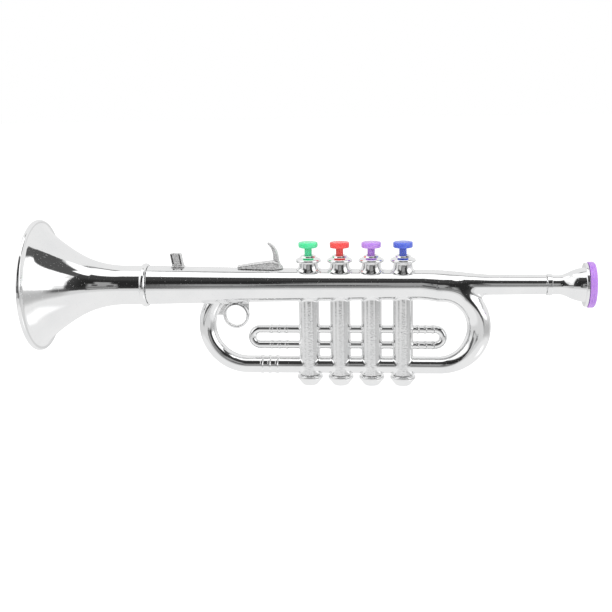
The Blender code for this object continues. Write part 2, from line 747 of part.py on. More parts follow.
def mouthpiece():
    """Cup, cone and bead of the mouthpiece, with the shank that goes into the body."""
    shank_radius = LEADPIPE_END_RADIUS - MOUTH_SHANK_WALL - SEAT_GAP
    shank_end = BODY_END - MOUTH_SOCKET_DEPTH + SEAT_GAP
    bead_radius = LEADPIPE_END_RADIUS + MOUTH_BEAD_RISE
    bead_end = MOUTHPIECE_START + MOUTH_BEAD_WIDTH
    flange_start = MOUTHPIECE_END - MOUTH_FLANGE_WIDTH
    cone_start = bead_end + MOUTH_WAIST_LENGTH
    crest = MOUTH_BEAD_WIDTH * CREST_SHARE
    cone = []
    for along, out in MOUTH_CONE_SHARES:
        station = cone_start + (flange_start - cone_start) * along
        cone.append((LEADPIPE_END_RADIUS + (MOUTH_CONE_RADIUS - LEADPIPE_END_RADIUS) * out, station))
    cup = []
    for share in MOUTH_CUP_SHARES:
        angle = share * math.pi / 2
        radius = MOUTH_THROAT_RADIUS + (MOUTH_CUP_RADIUS - MOUTH_THROAT_RADIUS) * math.sin(angle)
        cup.append((radius, MOUTHPIECE_END - MOUTH_CUP_DEPTH * math.cos(angle)))
    profile = [
        (MOUTH_FLANGE_RADIUS, MOUTHPIECE_END),
        (MOUTH_FLANGE_RADIUS, flange_start),
        *cone,
        (LEADPIPE_END_RADIUS, bead_end),
        (bead_radius, bead_end - crest),
        (bead_radius, MOUTHPIECE_START + crest),
        (LEADPIPE_END_RADIUS, MOUTHPIECE_START),
        (shank_radius, MOUTHPIECE_START),
        (shank_radius, shank_end),
        (MOUTH_THROAT_RADIUS, shank_end),
        *cup,
    ]
    obj = turned("mouthpiece", profile, MOUTH_FACETS, place(0.0), along_tube=True, closed=True, on_axes=True)
    finished(obj, "mouthpiece", "chrome")


def mouthpiece_rim():
    """The coloured ring round the mouthpiece, with a rounded outer edge and a flat face."""
    rounded = []
    for share in RIM_ROUND_SHARES:
        angle = share * math.pi / 2
        rounded.append((
            RIM_RADIUS - RIM_ROUND + RIM_ROUND * math.sin(angle),
            OVERALL_LENGTH - RIM_ROUND + RIM_ROUND * math.cos(angle),
        ))
    profile = [
        *rounded,
        (RIM_RADIUS, RIM_START + RIM_INNER_ROUND),
        (RIM_RADIUS - RIM_INNER_ROUND, RIM_START),
        (RIM_HOLE_RADIUS, RIM_START),
        (RIM_HOLE_RADIUS, OVERALL_LENGTH - RIM_INNER_ROUND),
        (RIM_HOLE_RADIUS + RIM_INNER_ROUND, OVERALL_LENGTH),
    ]
    obj = turned("rim_form", profile, BELL_FACETS, place(0.0), along_tube=True, closed=True, on_axes=True)
    finished(obj, "mouthpiece_rim", "rim_purple")


def hook_pins():
    start = VALVES[0] - HOOK_END_OFFSET - HOOK_LENGTH
    return [start + HOOK_LENGTH * share for share in HOOK_PIN_SHARES]


def pin(name, radius, station):
    """A locating pin from inside the tube's wall up into the piece that it carries."""
    surface = tube_radius(station)
    return rod(name, radius, surface - PIN_DEPTH, surface + PIN_DEPTH, PIN_FACETS, station)


def finger_hook():
    """The finger hook: a wedge that follows the tube, with a band that curls up and back towards the bell."""
    end = VALVES[0] - HOOK_END_OFFSET
    start = end - HOOK_LENGTH
    upright = Matrix.Translation(place(start)) @ Matrix.Rotation(math.radians(90), 4, "X")
    flat = Matrix.Translation(place(start, HOOK_REAR_HEIGHT))
    base_rise = HOOK_REAR_HEIGHT - HOOK_FRONT_HEIGHT
    side = [(0.0, 0.0), (HOOK_LENGTH, 0.0)]
    side += [(HOOK_LENGTH * along, HOOK_FRONT_HEIGHT + base_rise * up) for along, up in HOOK_BASE_SHARES]
    near = [(HOOK_LENGTH * along, -HOOK_HALF_DEPTH * out) for along, out in HOOK_PLAN_SHARES]
    plan = near + [(along, -out) for along, out in reversed(near)]
    base = plate("hook_base", [side], HOOK_HALF_DEPTH + OVERRUN, upright)
    keep(base, plate("hook_plan", [plan], HOOK_REAR_HEIGHT, flat))
    rise = HOOK_TOP_HEIGHT - HOOK_REAR_HEIGHT
    foot = HOOK_REAR_HEIGHT - HOOK_BAND_HALF_DEPTH / 2
    band_outline = [
        (HOOK_LENGTH * along, foot + (rise + HOOK_BAND_HALF_DEPTH / 2) * up) for along, up in HOOK_BAND_SHARES
    ]
    band = plate("hook_band", [band_outline], HOOK_BAND_HALF_DEPTH, upright)
    join(base, band)
    cut(base, tube_form("hook_seat", SEAT_GAP, start - OVERRUN, end + OVERRUN))
    join(base, *[pin(f"hook_pin_{n + 1}", HOOK_PIN_RADIUS, s) for n, s in enumerate(hook_pins())])
    finished(settle(base), "finger_hook", "worn_chrome")


def lyre_socket():
    """The open-topped socket near the bell, leaning towards it with a level top and cut to fit the tube."""
    station = SHOULDER + LYRE_OFFSET
    half = Vector((LYRE_LENGTH / 2, LYRE_DEPTH / 2, 0))
    inner = half - Vector((LYRE_WALL, LYRE_WALL, 0))
    surface = tube_radius(station)
    lean = Matrix.Translation(Vector((station, 0, surface)))
    lean[0][2] = -math.tan(LYRE_LEAN)
    top = LYRE_HEIGHT - surface
    floor = top - LYRE_POCKET_DEPTH
    post = block("lyre_post", (-half.x, -half.y, -surface / 2), (half.x, half.y, top))
    pocket = block("lyre_pocket", (-inner.x, -inner.y, floor), (inner.x, inner.y, top + OVERRUN))
    for obj in (post, pocket):
        obj.data.transform(lean)
    cut(post, tube_form("lyre_seat", SEAT_GAP, station - LYRE_LENGTH, station + LYRE_LENGTH), pocket)
    join(post, pin("lyre_pin", LYRE_PIN_RADIUS, station))
    finished(settle(post), "lyre_socket", "worn_chrome")


def collar(number, station):
    """A collar: spigot, flared foot cut to the tube, neck, and a wide brim with a cone round the stem."""
    surface = tube_radius(station)
    foot = surface - COLLAR_SPIGOT_RADIUS / 2
    flare = foot + COLLAR_FLARE_HEIGHT
    brim_low = COLLAR_BRIM_HEIGHT - COLLAR_BRIM_DEPTH / 2
    brim_high = COLLAR_BRIM_HEIGHT + COLLAR_BRIM_DEPTH / 2
    middle_radius = (COLLAR_NECK_RADIUS + COLLAR_FOOT_RADIUS) / 2
    edge = COLLAR_BRIM_DEPTH * CREST_SHARE
    stem_hole = BUTTON_STEM_RADIUS + RUNNING_GAP
    profile = [
        (stem_hole, COLLAR_TOP_HEIGHT - COLLAR_RECESS_DEPTH),
        (COLLAR_RECESS_RADIUS, COLLAR_TOP_HEIGHT - COLLAR_RECESS_DEPTH),
        (COLLAR_RECESS_RADIUS, COLLAR_TOP_HEIGHT),
        (COLLAR_TOP_RADIUS, COLLAR_TOP_HEIGHT),
        (COLLAR_BRIM_RADIUS - edge, brim_high),
        (COLLAR_BRIM_RADIUS, brim_high - edge),
        (COLLAR_BRIM_RADIUS, brim_low + edge),
        (COLLAR_BRIM_RADIUS - edge, brim_low),
        (COLLAR_NECK_RADIUS, brim_low),
        (COLLAR_NECK_RADIUS, flare),
        (middle_radius, foot + COLLAR_FLARE_HEIGHT * COLLAR_FLARE_SHARE),
        (COLLAR_FOOT_RADIUS, foot),
        (COLLAR_BORE_RADIUS, foot),
        (COLLAR_BORE_RADIUS, COLLAR_TOP_HEIGHT - COLLAR_TOP_WALL),
        (stem_hole, COLLAR_TOP_HEIGHT - COLLAR_TOP_WALL),
    ]
    obj = turned("collar_form", profile, COLLAR_FACETS, place(station), closed=True)
    reach = COLLAR_FOOT_RADIUS + OVERRUN
    cut(obj, tube_form("collar_seat", SEAT_GAP, station - reach, station + reach))
    spigot_bottom = surface - COLLAR_SPIGOT_DEPTH
    spigot_top = foot + COLLAR_FLARE_HEIGHT
    spigot = turned(
        "collar_spigot",
        [
            (COLLAR_SPIGOT_RADIUS, spigot_top),
            (COLLAR_SPIGOT_RADIUS, spigot_bottom),
            (COLLAR_BORE_RADIUS, spigot_bottom),
            (COLLAR_BORE_RADIUS, spigot_top),
        ],
        COLLAR_FACETS, place(station), closed=True,
    )
    join(obj, spigot)
    finished(settle(obj), f"valve_collar_{number}", "chrome")


def bottom_cap(number, station):
    """A bottom cap: spigot inside the casing, flange, shallow cone and the small flat that it stands on."""
    spigot_radius = CASING_RADIUS - CASING_WALL - SEAT_GAP
    flange_top = -CAP_FLANGE_TOP - CAP_NECK_HEIGHT
    flange_bottom = flange_top - CAP_FLANGE_WIDTH
    edge = CAP_FLANGE_WIDTH * CREST_SHARE
    spigot_top = -CAP_FLANGE_TOP + CAP_SPIGOT_HEIGHT
    profile = [
        (0.0, flange_top),
        (spigot_radius - CAP_SPIGOT_WALL, flange_top),
        (spigot_radius - CAP_SPIGOT_WALL, spigot_top),
        (spigot_radius, spigot_top),
        (spigot_radius, -CAP_FLANGE_TOP),
        (CASING_RADIUS, -CAP_FLANGE_TOP),
        (CASING_RADIUS, flange_top),
        (CAP_FLANGE_RADIUS - edge, flange_top),
        (CAP_FLANGE_RADIUS, flange_top - edge),
        (CAP_FLANGE_RADIUS, flange_bottom),
        (CAP_FLAT_RADIUS, -AXIS_HEIGHT),
        (0.0, -AXIS_HEIGHT),
    ]
    obj = turned("cap_form", profile, CAP_FACETS, place(station), on_axes=True)
    finished(obj, f"bottom_cap_{number}", "chrome")


def button(station, colour):
    """A coloured button: a disc with rounded edges on a stem whose blind socket takes the plunger's peg."""
    top = BUTTON_CAP_UNDERSIDE + BUTTON_CAP_HEIGHT
    corner = BUTTON_CAP_RADIUS - BUTTON_CAP_ROUND
    slant = BUTTON_CAP_ROUND * SLANT_SHARE
    stem_bottom = STOP_TOP
    socket_top = stem_bottom + BUTTON_SOCKET_DEPTH
    profile = [
        (0.0, top),
        (corner, top - BUTTON_CAP_CROWN),
        (BUTTON_CAP_RADIUS - slant, top - BUTTON_CAP_CROWN - slant),
        (BUTTON_CAP_RADIUS, top - BUTTON_CAP_ROUND - BUTTON_CAP_CROWN),
        (BUTTON_CAP_RADIUS, BUTTON_CAP_UNDERSIDE + slant),
        (BUTTON_CAP_RADIUS - slant, BUTTON_CAP_UNDERSIDE),
        (BUTTON_STEM_RADIUS, BUTTON_CAP_UNDERSIDE),
        (BUTTON_STEM_RADIUS, stem_bottom + SEAT_GAP),
        (BUTTON_SOCKET_RADIUS, stem_bottom + SEAT_GAP),
        (BUTTON_SOCKET_RADIUS, socket_top),
        (0.0, socket_top),
    ]
    obj = turned("button_form", profile, BUTTON_FACETS, place(station), on_axes=True)
    finished(obj, f"button_{colour}", f"button_{colour}")


def plunger(number, station):
    """The plunger under a button: peg, stop flange, thin stem and the head that holds the pad."""
    peg_radius = BUTTON_SOCKET_RADIUS - SEAT_GAP
    head_top = PAD_BOTTOM - SEAT_GAP
    profile = [
        (0.0, STOP_TOP + PLUNGER_PEG_LENGTH),
        (peg_radius, STOP_TOP + PLUNGER_PEG_LENGTH),
        (peg_radius, STOP_TOP),
        (PLUNGER_FLANGE_RADIUS, STOP_TOP),
        (PLUNGER_FLANGE_RADIUS, STOP_BOTTOM),
        (PLUNGER_STEM_RADIUS, STOP_BOTTOM),
        (PLUNGER_STEM_RADIUS, head_top),
        (PLUNGER_HEAD_RADIUS, head_top),
        (PLUNGER_HEAD_RADIUS, head_top - PLUNGER_HEAD_WIDTH),
        (0.0, head_top - PLUNGER_HEAD_WIDTH),
    ]
    obj = turned("plunger_form", profile, SMALL_FACETS, place(station))
    finished(obj, f"plunger_{number}", "white_plastic")


def valve_spring(number, station):
    """A coil spring between the chest and the plunger's flange, one unbroken wire."""
    low = CHEST_TOP_HEIGHT + SEAT_GAP + SPRING_WIRE_RADIUS
    high = STOP_BOTTOM - SEAT_GAP - SPRING_WIRE_RADIUS
    count = SPRING_TURNS * SPRING_TURN_POINTS
    route = []
    for n in range(count + 1):
        angle = 2 * math.pi * n / SPRING_TURN_POINTS
        height = low + (high - low) * n / count
        across = SPRING_COIL_RADIUS * math.cos(angle)
        side = SPRING_COIL_RADIUS * math.sin(angle)
        route.append((place(station + across, height, side), SPRING_WIRE_RADIUS))
    obj = pipe("spring_form", route, SPRING_RESOLUTION)
    finished(obj, f"valve_spring_{number}", "steel")


def valve_pad(number, station):
    """A rubber pad with the hole that the plunger's head was pushed through."""
    hole = PLUNGER_STEM_RADIUS + SEAT_GAP
    profile = [(hole, PAD_TOP), (PAD_RADIUS, PAD_TOP), (PAD_RADIUS, PAD_BOTTOM), (hole, PAD_BOTTOM)]
    obj = turned("pad_form", profile, SMALL_FACETS, place(station), closed=True)
    finished(obj, f"valve_pad_{number}", "rubber")


def air_chest():
    """The chest in the tube: a feed chamber over four cells, with stem guides, seats and two end walls."""
    body = block(
        "chest_body",
        (CHEST_START, -CHEST_HALF_DEPTH, -CHEST_BOTTOM_DEPTH),
        (CHEST_END, CHEST_HALF_DEPTH, CHEST_TOP_HEIGHT),
    )
    half_inside = CHEST_HALF_DEPTH - CHEST_WALL
    chamber = block(
        "feed_chamber",
        (CHEST_START + CHEST_WALL, -half_inside, CHEST_PLATE_TOP),
        (CHEST_END + OVERRUN + CHEST_END_WALL, half_inside, CHEST_TOP_HEIGHT - CHEST_WALL),
    )
    across = Matrix.Rotation(math.radians(90), 4, "Y")
    bell_wall_radius = tube_radius(CHEST_START) - TUBE_WALL - SEAT_GAP
    mouth_wall_radius = tube_radius(CHEST_END + CHEST_END_WALL) - TUBE_WALL - SEAT_GAP
    bell_wall = rod(
        "bell_wall", bell_wall_radius, -CHEST_END_WALL, CHEST_WALL / 2, TUBE_FACETS, CHEST_START,
        tilt=across, on_axes=True,
    )
    mouth_wall = rod(
        "mouth_wall", mouth_wall_radius, -CHEST_WALL / 2, CHEST_END_WALL, TUBE_FACETS, CHEST_END,
        tilt=across, on_axes=True,
    )
    outlet = block(
        "outlet",
        (CHEST_START - CHEST_END_WALL - OVERRUN, -bell_wall_radius, -bell_wall_radius - OVERRUN),
        (CHEST_START - SEAT_GAP, bell_wall_radius, TRAY_TOP - TRAY_THICKNESS),
    )
    inner_outlet = block(
        "inner_outlet",
        (CHEST_START - OVERRUN / 2, -bell_wall_radius, -bell_wall_radius - OVERRUN),
        (CHEST_START + CHEST_WALL, bell_wall_radius, -CHEST_BOTTOM_DEPTH),
    )
    cells = []
    holes = []
    half_cell = (VALVE_PITCH - CHEST_WALL) / 2
    for n, station in enumerate(VALVES):
        low = max(station - half_cell, CHEST_START + CHEST_WALL)
        high = min(station + half_cell, CHEST_END - CHEST_WALL)
        cells.append(
            block(
                f"cell_{n + 1}",
                (low, -half_inside, -CHEST_BOTTOM_DEPTH - OVERRUN),
                (high, half_inside, CHEST_PLATE_BOTTOM),
            )
        )
        guide_top = CHEST_TOP_HEIGHT + OVERRUN
        guide_bottom = CHEST_PLATE_TOP + SEAT_GAP
        guide = PLUNGER_STEM_RADIUS + RUNNING_GAP
        holes.append(rod(f"guide_{n + 1}", guide, guide_bottom, guide_top, SMALL_FACETS, station))
        seat_low = CHEST_PLATE_BOTTOM - CHEST_WALL / 2
        seat_high = CHEST_PLATE_TOP + CHEST_WALL / 2
        holes.append(rod(f"seat_{n + 1}", CHEST_SEAT_RADIUS, seat_low, seat_high, SMALL_FACETS, station))
    join(body, bell_wall, mouth_wall)
    cut(body, chamber, outlet, inner_outlet, *cells, *holes)
    finished(settle(body), "air_chest", "white_plastic")


def reed_start(station):
    return station - REED_LENGTH / 2


def reed_tray():
    """The plate under the cells, with a slot under each reed's tongue and a peg through each reed."""
    tray = block(
        "tray_form",
        (CHEST_START + CHEST_WALL + SEAT_GAP, -CHEST_HALF_DEPTH, TRAY_TOP - TRAY_THICKNESS),
        (CHEST_END - CHEST_WALL - SEAT_GAP, CHEST_HALF_DEPTH, TRAY_TOP),
    )
    reed_top = TRAY_TOP + SEAT_GAP + REED_THICKNESS
    for n, station in enumerate(VALVES):
        start = reed_start(station) + 2 * REED_PEG_INSET
        half = REED_TONGUE_DEPTH / 2 + TRAY_SLOT_MARGIN
        cut(
            tray,
            block(
                f"slot_{n + 1}",
                (start, -half, TRAY_TOP - TRAY_THICKNESS - OVERRUN),
                (start + REED_TONGUE_LENGTH, half, TRAY_TOP + OVERRUN),
            ),
        )
        peg_station = reed_start(station) + REED_PEG_INSET
        peg_bottom = TRAY_TOP - TRAY_THICKNESS / 2
        join(tray, rod(f"reed_peg_{n + 1}", REED_PEG_RADIUS, peg_bottom, reed_top, PIN_FACETS, peg_station))
    finished(settle(tray), "reed_tray", "white_plastic")


def reed(number, station):
    """A brass reed plate: its tongue is left standing by a U-shaped cut, and a peg goes through its hole."""
    half = REED_DEPTH / 2
    tongue = REED_TONGUE_DEPTH / 2
    tongue_start = 2 * REED_PEG_INSET
    tongue_end = tongue_start + REED_TONGUE_LENGTH - REED_CUT
    outline = [(0.0, -half), (REED_LENGTH, -half), (REED_LENGTH, half), (0.0, half)]
    slot = [
        (tongue_start, tongue),
        (tongue_end, tongue),
        (tongue_end, -tongue),
        (tongue_start, -tongue),
        (tongue_start, -tongue - REED_CUT),
        (tongue_end + REED_CUT, -tongue - REED_CUT),
        (tongue_end + REED_CUT, tongue + REED_CUT),
        (tongue_start, tongue + REED_CUT),
    ]
    hole_radius = REED_PEG_RADIUS + SEAT_GAP
    hole = []
    for n in range(PIN_FACETS):
        angle = 2 * math.pi * n / PIN_FACETS
        hole.append((REED_PEG_INSET + hole_radius * math.cos(angle), hole_radius * math.sin(angle)))
    middle = TRAY_TOP + SEAT_GAP + REED_THICKNESS / 2
    matrix = Matrix.Translation(place(reed_start(station), middle))
    obj = plate("reed_form", [outline, slot, hole], REED_THICKNESS / 2, matrix)
    finished(obj, f"reed_{number}", "brass")


def shade():
    for obj in trumpet.objects:
        obj.data.shade_smooth()
        obj.data.set_sharp_from_angle(angle=math.radians(35))


clear_scene()
trumpet = collection("toy_trumpet")
tools = collection("cutters")
body_halves()
bell()
mouthpiece()
mouthpiece_rim()
finger_hook()
lyre_socket()
air_chest()
reed_tray()
for index, valve in enumerate(VALVES):
    collar(index + 1, valve)
    bottom_cap(index + 1, valve)
    button(valve, BUTTON_COLOURS[index % len(BUTTON_COLOURS)])
    plunger(index + 1, valve)
    valve_spring(index + 1, valve)
    valve_pad(index + 1, valve)
    reed(index + 1, valve)
shade()
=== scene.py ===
"""Toy trumpet: its fine surfaces, its finishes and a plain studio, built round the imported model.

Lengths are metres. A station is a distance along the tube from the plane of the bell's rim, a height is a
distance above the tube's axis, and a side is a distance to the back, as in the part's own source. In outlines
and fields the small last numbers are the sizes of roundings.
"""

import math

import bpy
import numpy as np
from mathutils import Matrix, Vector


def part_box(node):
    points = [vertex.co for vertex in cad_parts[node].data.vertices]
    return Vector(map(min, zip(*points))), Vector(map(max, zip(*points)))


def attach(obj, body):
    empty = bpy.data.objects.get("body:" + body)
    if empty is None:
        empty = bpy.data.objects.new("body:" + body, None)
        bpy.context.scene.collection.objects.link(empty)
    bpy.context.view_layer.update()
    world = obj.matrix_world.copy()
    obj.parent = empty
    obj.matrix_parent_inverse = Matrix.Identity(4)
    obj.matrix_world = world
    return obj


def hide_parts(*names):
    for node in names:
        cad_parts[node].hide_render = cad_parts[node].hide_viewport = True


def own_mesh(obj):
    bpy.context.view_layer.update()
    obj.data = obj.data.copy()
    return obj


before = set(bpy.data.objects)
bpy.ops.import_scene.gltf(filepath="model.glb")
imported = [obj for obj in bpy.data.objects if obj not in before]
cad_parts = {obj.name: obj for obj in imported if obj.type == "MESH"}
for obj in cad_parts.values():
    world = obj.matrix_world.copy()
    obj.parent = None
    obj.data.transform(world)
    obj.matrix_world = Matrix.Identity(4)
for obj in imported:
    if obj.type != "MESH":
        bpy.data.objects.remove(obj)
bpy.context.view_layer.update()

# Places read from the frame
BELL_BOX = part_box("bell")
RIM_PLANE = BELL_BOX[0].x
AXIS_HEIGHT = (BELL_BOX[0].z + BELL_BOX[1].z) / 2
COLLAR_BOXES = [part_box(f"valve_collar_{n}") for n in (1, 2, 3, 4)]
VALVES = [(low.x + high.x) / 2 - RIM_PLANE for low, high in COLLAR_BOXES]
VALVE_PITCH = (VALVES[-1] - VALVES[0]) / (len(VALVES) - 1)
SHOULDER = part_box("bell")[1].x - RIM_PLANE + 0.0003
BODY_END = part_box("body_front")[1].x - RIM_PLANE
OVERALL_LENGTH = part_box("mouthpiece_rim")[1].x - RIM_PLANE
COLOURS = ("green", "red", "purple", "blue")

# Clearances
SEAM_GAP = 0.0003
SEAT_GAP = 0.0003

# Main tube
TUBE_WALL = 0.0016
TUBE_BELL_RADIUS = 0.0144
TUBE_WAIST_RADIUS = 0.0129
TUBE_WAIST = SHOULDER + 0.0652
TUBE_VALVE_END_RADIUS = 0.0108
TUBE_VALVE_END = VALVES[-1] + 0.0207
TUBE_BLEND_LENGTH = 0.046
LEADPIPE_START_RADIUS = 0.0073
LEADPIPE_END_RADIUS = 0.00695
SPIGOT_START = SHOULDER - 0.0145
SPIGOT_RADIUS = 0.0128
SPIGOT_WALL = 0.0016
SOCKET_DEPTH = 0.0143
SOCKET_RADIUS = 0.00555

# Casings
CASING_RADIUS = 0.00755
CASING_WALL = 0.0015
CASING_BOTTOM = 0.06745
COLLAR_HOLE_RADIUS = 0.0056

# Loop and slides
LOOP_DROP = 0.0604
LOOP_LEFT_RADIUS = LOOP_DROP / 2
LOOP_RIGHT_RADIUS = 0.0286
LOOP_RADIUS = 0.00635
LOOP_SWELL_RADIUS = 0.0086
LOOP_SWELL_ANGLE = math.radians(75)
LOOP_DEEPENING = 0.17
LOOP_DEEP_ANGLE = math.radians(60)
LOOP_WALL = 0.0015
LOOP_LEFT = VALVES[0] - 0.046
LOOP_RIGHT = VALVES[-1] + 0.0267
LOOP_LEFT_TOP = math.radians(118)
LOOP_RIGHT_TOP = math.radians(90)
LOOP_BORE_TOP = math.radians(22)
LOOP_MERGE_LENGTH = 0.026
LOOP_MERGE_RISE = 0.001
SLIDE_BEND_RADIUS = 0.00595
SLIDE_MIDDLE = -0.0333 - SLIDE_BEND_RADIUS
SLIDE_RADIUS = 0.00295
SLIDE_LEFT = VALVES[0] - 0.0368
SLIDE_RIGHT = VALVES[-1] + 0.0235
BAND_PITCH = 0.0056
BAND_WIDTH = 0.0017
BAND_RISE = 0.0004
BAND_COUNT = 3
LOOP_BAND_START = 0.0102
SLIDE_BAND_START = 0.0086
SLIDE_BAND_END = 0.0015

# Finger ring and web
RING_STATION = VALVES[0] - 0.0545
RING_DROP = 0.0228
RING_RADIUS = 0.00975
RING_HOLE_RADIUS = 0.0077
RING_DEPTH = 0.005
WEB_DEPTH = 0.0024
WEB_START = LOOP_LEFT - LOOP_LEFT_RADIUS

# Rounding of the moulding where its forms meet
FILLET = 0.0011
SWELL_FILLET = 0.005
EDGE_ROUND = 0.0005
BAND_ROUND = 0.0003
RING_ROUND = 0.0014


def place(station, height=0.0, side=0.0):
    """World position of a point given by its station, height and side."""
    return Vector((RIM_PLANE + station, side, AXIS_HEIGHT + height))


ORIGIN = np.array(place(0.0))


def smooth_step(share):
    share = np.clip(share, 0.0, 1.0)
    return share * share * (3 - 2 * share)


def soft_min(a, b, blend):
    """The lesser of two distances, with a fillet of about the size of blend where they are alike."""
    share = np.clip(0.5 + 0.5 * (b - a) / blend, 0.0, 1.0)
    return b + (a - b) * share - blend * share * (1 - share)


def soft_max(a, b, blend):
    return -soft_min(-a, -b, blend)


def tube_radius(station):
    """Outer radius of the main tube, from the bell's shoulder down to the lead pipe."""
    pipe_start = TUBE_VALVE_END + TUBE_BLEND_LENGTH
    tapers = np.interp(
        station,
        (SHOULDER, TUBE_WAIST, TUBE_VALVE_END),
        (TUBE_BELL_RADIUS, TUBE_WAIST_RADIUS, TUBE_VALVE_END_RADIUS),
    )
    pipe = np.interp(station, (pipe_start, BODY_END), (LEADPIPE_START_RADIUS, LEADPIPE_END_RADIUS))
    return tapers + (pipe - tapers) * smooth_step((station - TUBE_VALVE_END) / TUBE_BLEND_LENGTH)


def arc_distance(station, height, side, middle, radius, low, high):
    """Distance to a bend's centre line that touches the loop's run below, and the angle at the nearest point.

    Angle 0 points to the mouthpiece and 90 degrees up.
    """
    along = station - middle
    up = height + LOOP_DROP - radius
    angle = np.mod(np.arctan2(up, along) + math.pi / 2, 2 * math.pi) - math.pi / 2
    nearest = np.clip(angle, low, high)
    gap = np.sqrt((along - radius * np.cos(nearest)) ** 2 + (up - radius * np.sin(nearest)) ** 2 + side ** 2)
    return gap, nearest


def merge_distance(station, height, side):
    """Signed distance to the end of the loop, which narrows and rises into the main tube."""
    start_height = 2 * LOOP_RIGHT_RADIUS - LOOP_DROP
    rise = LOOP_MERGE_RISE - start_height
    reach = LOOP_MERGE_LENGTH ** 2 + rise ** 2
    share = ((LOOP_RIGHT - station) * LOOP_MERGE_LENGTH + (height - start_height) * rise) / reach
    share = np.clip(share, 0.0, 1.0)
    along = station - LOOP_RIGHT + LOOP_MERGE_LENGTH * share
    depth = side * (1 - LOOP_DEEPENING * (1 - share))
    gap = np.sqrt(along ** 2 + (height - start_height - rise * share) ** 2 + depth ** 2)
    return gap - LOOP_SWELL_RADIUS + (LOOP_SWELL_RADIUS - LOOP_RADIUS) * share


def loop_distance(station, height, side, left_top, right_top, shrink):
    """Signed distance to the loop's tube: the bend by the bell, the straight run and the swelling bend."""
    left, _ = arc_distance(station, height, side, LOOP_LEFT, LOOP_LEFT_RADIUS, left_top, 1.5 * math.pi)
    right, angle = arc_distance(station, height, side, LOOP_RIGHT, LOOP_RIGHT_RADIUS, -math.pi / 2, right_top)
    deepening = LOOP_DEEPENING * smooth_step(angle / LOOP_DEEP_ANGLE)
    right = np.sqrt(right ** 2 - side ** 2 + (side * (1 - deepening)) ** 2)
    nearest = np.clip(station, LOOP_LEFT, LOOP_RIGHT)
    run = np.sqrt((station - nearest) ** 2 + (height + LOOP_DROP) ** 2 + side ** 2)
    swell = (LOOP_SWELL_RADIUS - LOOP_RADIUS) * smooth_step((angle + math.pi / 2) / LOOP_SWELL_ANGLE)
    return np.minimum(np.minimum(left, run) - LOOP_RADIUS, right - LOOP_RADIUS - swell) + shrink


def band_distance(station, tube, start):
    """Signed distance to raised bands round a straight tube whose own signed distance is given."""
    return np.minimum.reduce([
        soft_max(np.abs(station - start - BAND_PITCH * n) - BAND_WIDTH / 2, tube - BAND_RISE, BAND_ROUND)
        for n in range(BAND_COUNT)
    ])


def slide_distance(station, height, side):
    """Signed distance to the closed ring of the two slide tubes, with their bands."""
    nearest = np.clip(station, SLIDE_LEFT, SLIDE_RIGHT)
    offset = np.hypot(station - nearest, height - SLIDE_MIDDLE) - SLIDE_BEND_RADIUS
    tube = np.hypot(offset, side) - SLIDE_RADIUS
    left = band_distance(station, tube, SLIDE_LEFT + SLIDE_BAND_START)
    right = band_distance(station, tube, SLIDE_RIGHT - SLIDE_BAND_END - BAND_PITCH * (BAND_COUNT - 1))
    return np.minimum(tube, np.minimum(left, right))


def ring_distance(station, height, side):
    """Signed distance to the finger ring with its web, and to the hole in it."""
    from_ring = np.hypot(station - RING_STATION, height + RING_DROP)
    ring = soft_max(from_ring - RING_RADIUS, np.abs(side) - RING_DEPTH / 2, RING_ROUND)
    ends = np.maximum(WEB_START - station, station - RING_STATION - RING_RADIUS)
    web = soft_max(np.abs(side) - WEB_DEPTH / 2, ends, EDGE_ROUND)
    web = soft_max(web, -RING_DROP - height, EDGE_ROUND)
    web = np.maximum(web, height)
    return soft_min(ring, web, EDGE_ROUND), from_ring - RING_HOLE_RADIUS


def moulding_distance(points):
    """Signed distance to the body's whole shell before it is parted, points being (station, side, height)."""
    station, side, height = points.T
    radius = tube_radius(station)
    across = np.hypot(side, height)
    tube = soft_max(across - radius, np.maximum(SHOULDER - station, station - BODY_END), SEAT_GAP)
    spigot_ends = np.maximum(SPIGOT_START - station, station - SHOULDER - TUBE_WALL)
    spigot = np.maximum(across - SPIGOT_RADIUS, spigot_ends)
    loop = loop_distance(station, height, side, LOOP_LEFT_TOP, LOOP_RIGHT_TOP, 0.0)
    loop = np.minimum(loop, merge_distance(station, height, side))
    run = np.hypot(side, height + LOOP_DROP) - LOOP_RADIUS
    loop = np.minimum(loop, band_distance(station, run, LOOP_LEFT + LOOP_BAND_START))
    slide = slide_distance(station, height, side)
    ring, ring_hole = ring_distance(station, height, side)
    from_valve = np.minimum.reduce([np.hypot(station - valve, side) for valve in VALVES])
    casings = np.maximum(from_valve - CASING_RADIUS, np.maximum(-CASING_BOTTOM - height, height))
    bores = np.maximum(from_valve - CASING_RADIUS + CASING_WALL, height + radius + TUBE_WALL)
    bores = np.minimum(bores, np.maximum(from_valve - COLLAR_HOLE_RADIUS, -height))
    swell = smooth_step((station - VALVES[-1]) / (LOOP_RIGHT - VALVES[-1]))
    outside = soft_min(tube, soft_min(ring, loop, EDGE_ROUND), FILLET + (SWELL_FILLET - FILLET) * swell)
    outside = soft_min(outside, slide, EDGE_ROUND)
    outside = soft_min(outside, casings, FILLET)
    outside = np.maximum(np.minimum(outside, spigot), -ring_hole)

    bore_radius = np.where(station < SHOULDER, SPIGOT_RADIUS - SPIGOT_WALL, radius - TUBE_WALL)
    bore_radius = np.where(station > BODY_END - SOCKET_DEPTH, SOCKET_RADIUS, bore_radius)
    loop_bore = loop_distance(station, height, side, math.pi - LOOP_BORE_TOP, LOOP_BORE_TOP, LOOP_WALL)
    inside = np.minimum(np.minimum(across - bore_radius, bores), loop_bore)
    return np.maximum(outside, -inside)


SLOPE_STEP = 0.00002
LEAST_STEEPNESS = 0.05
SURFACE_MOVES = 4


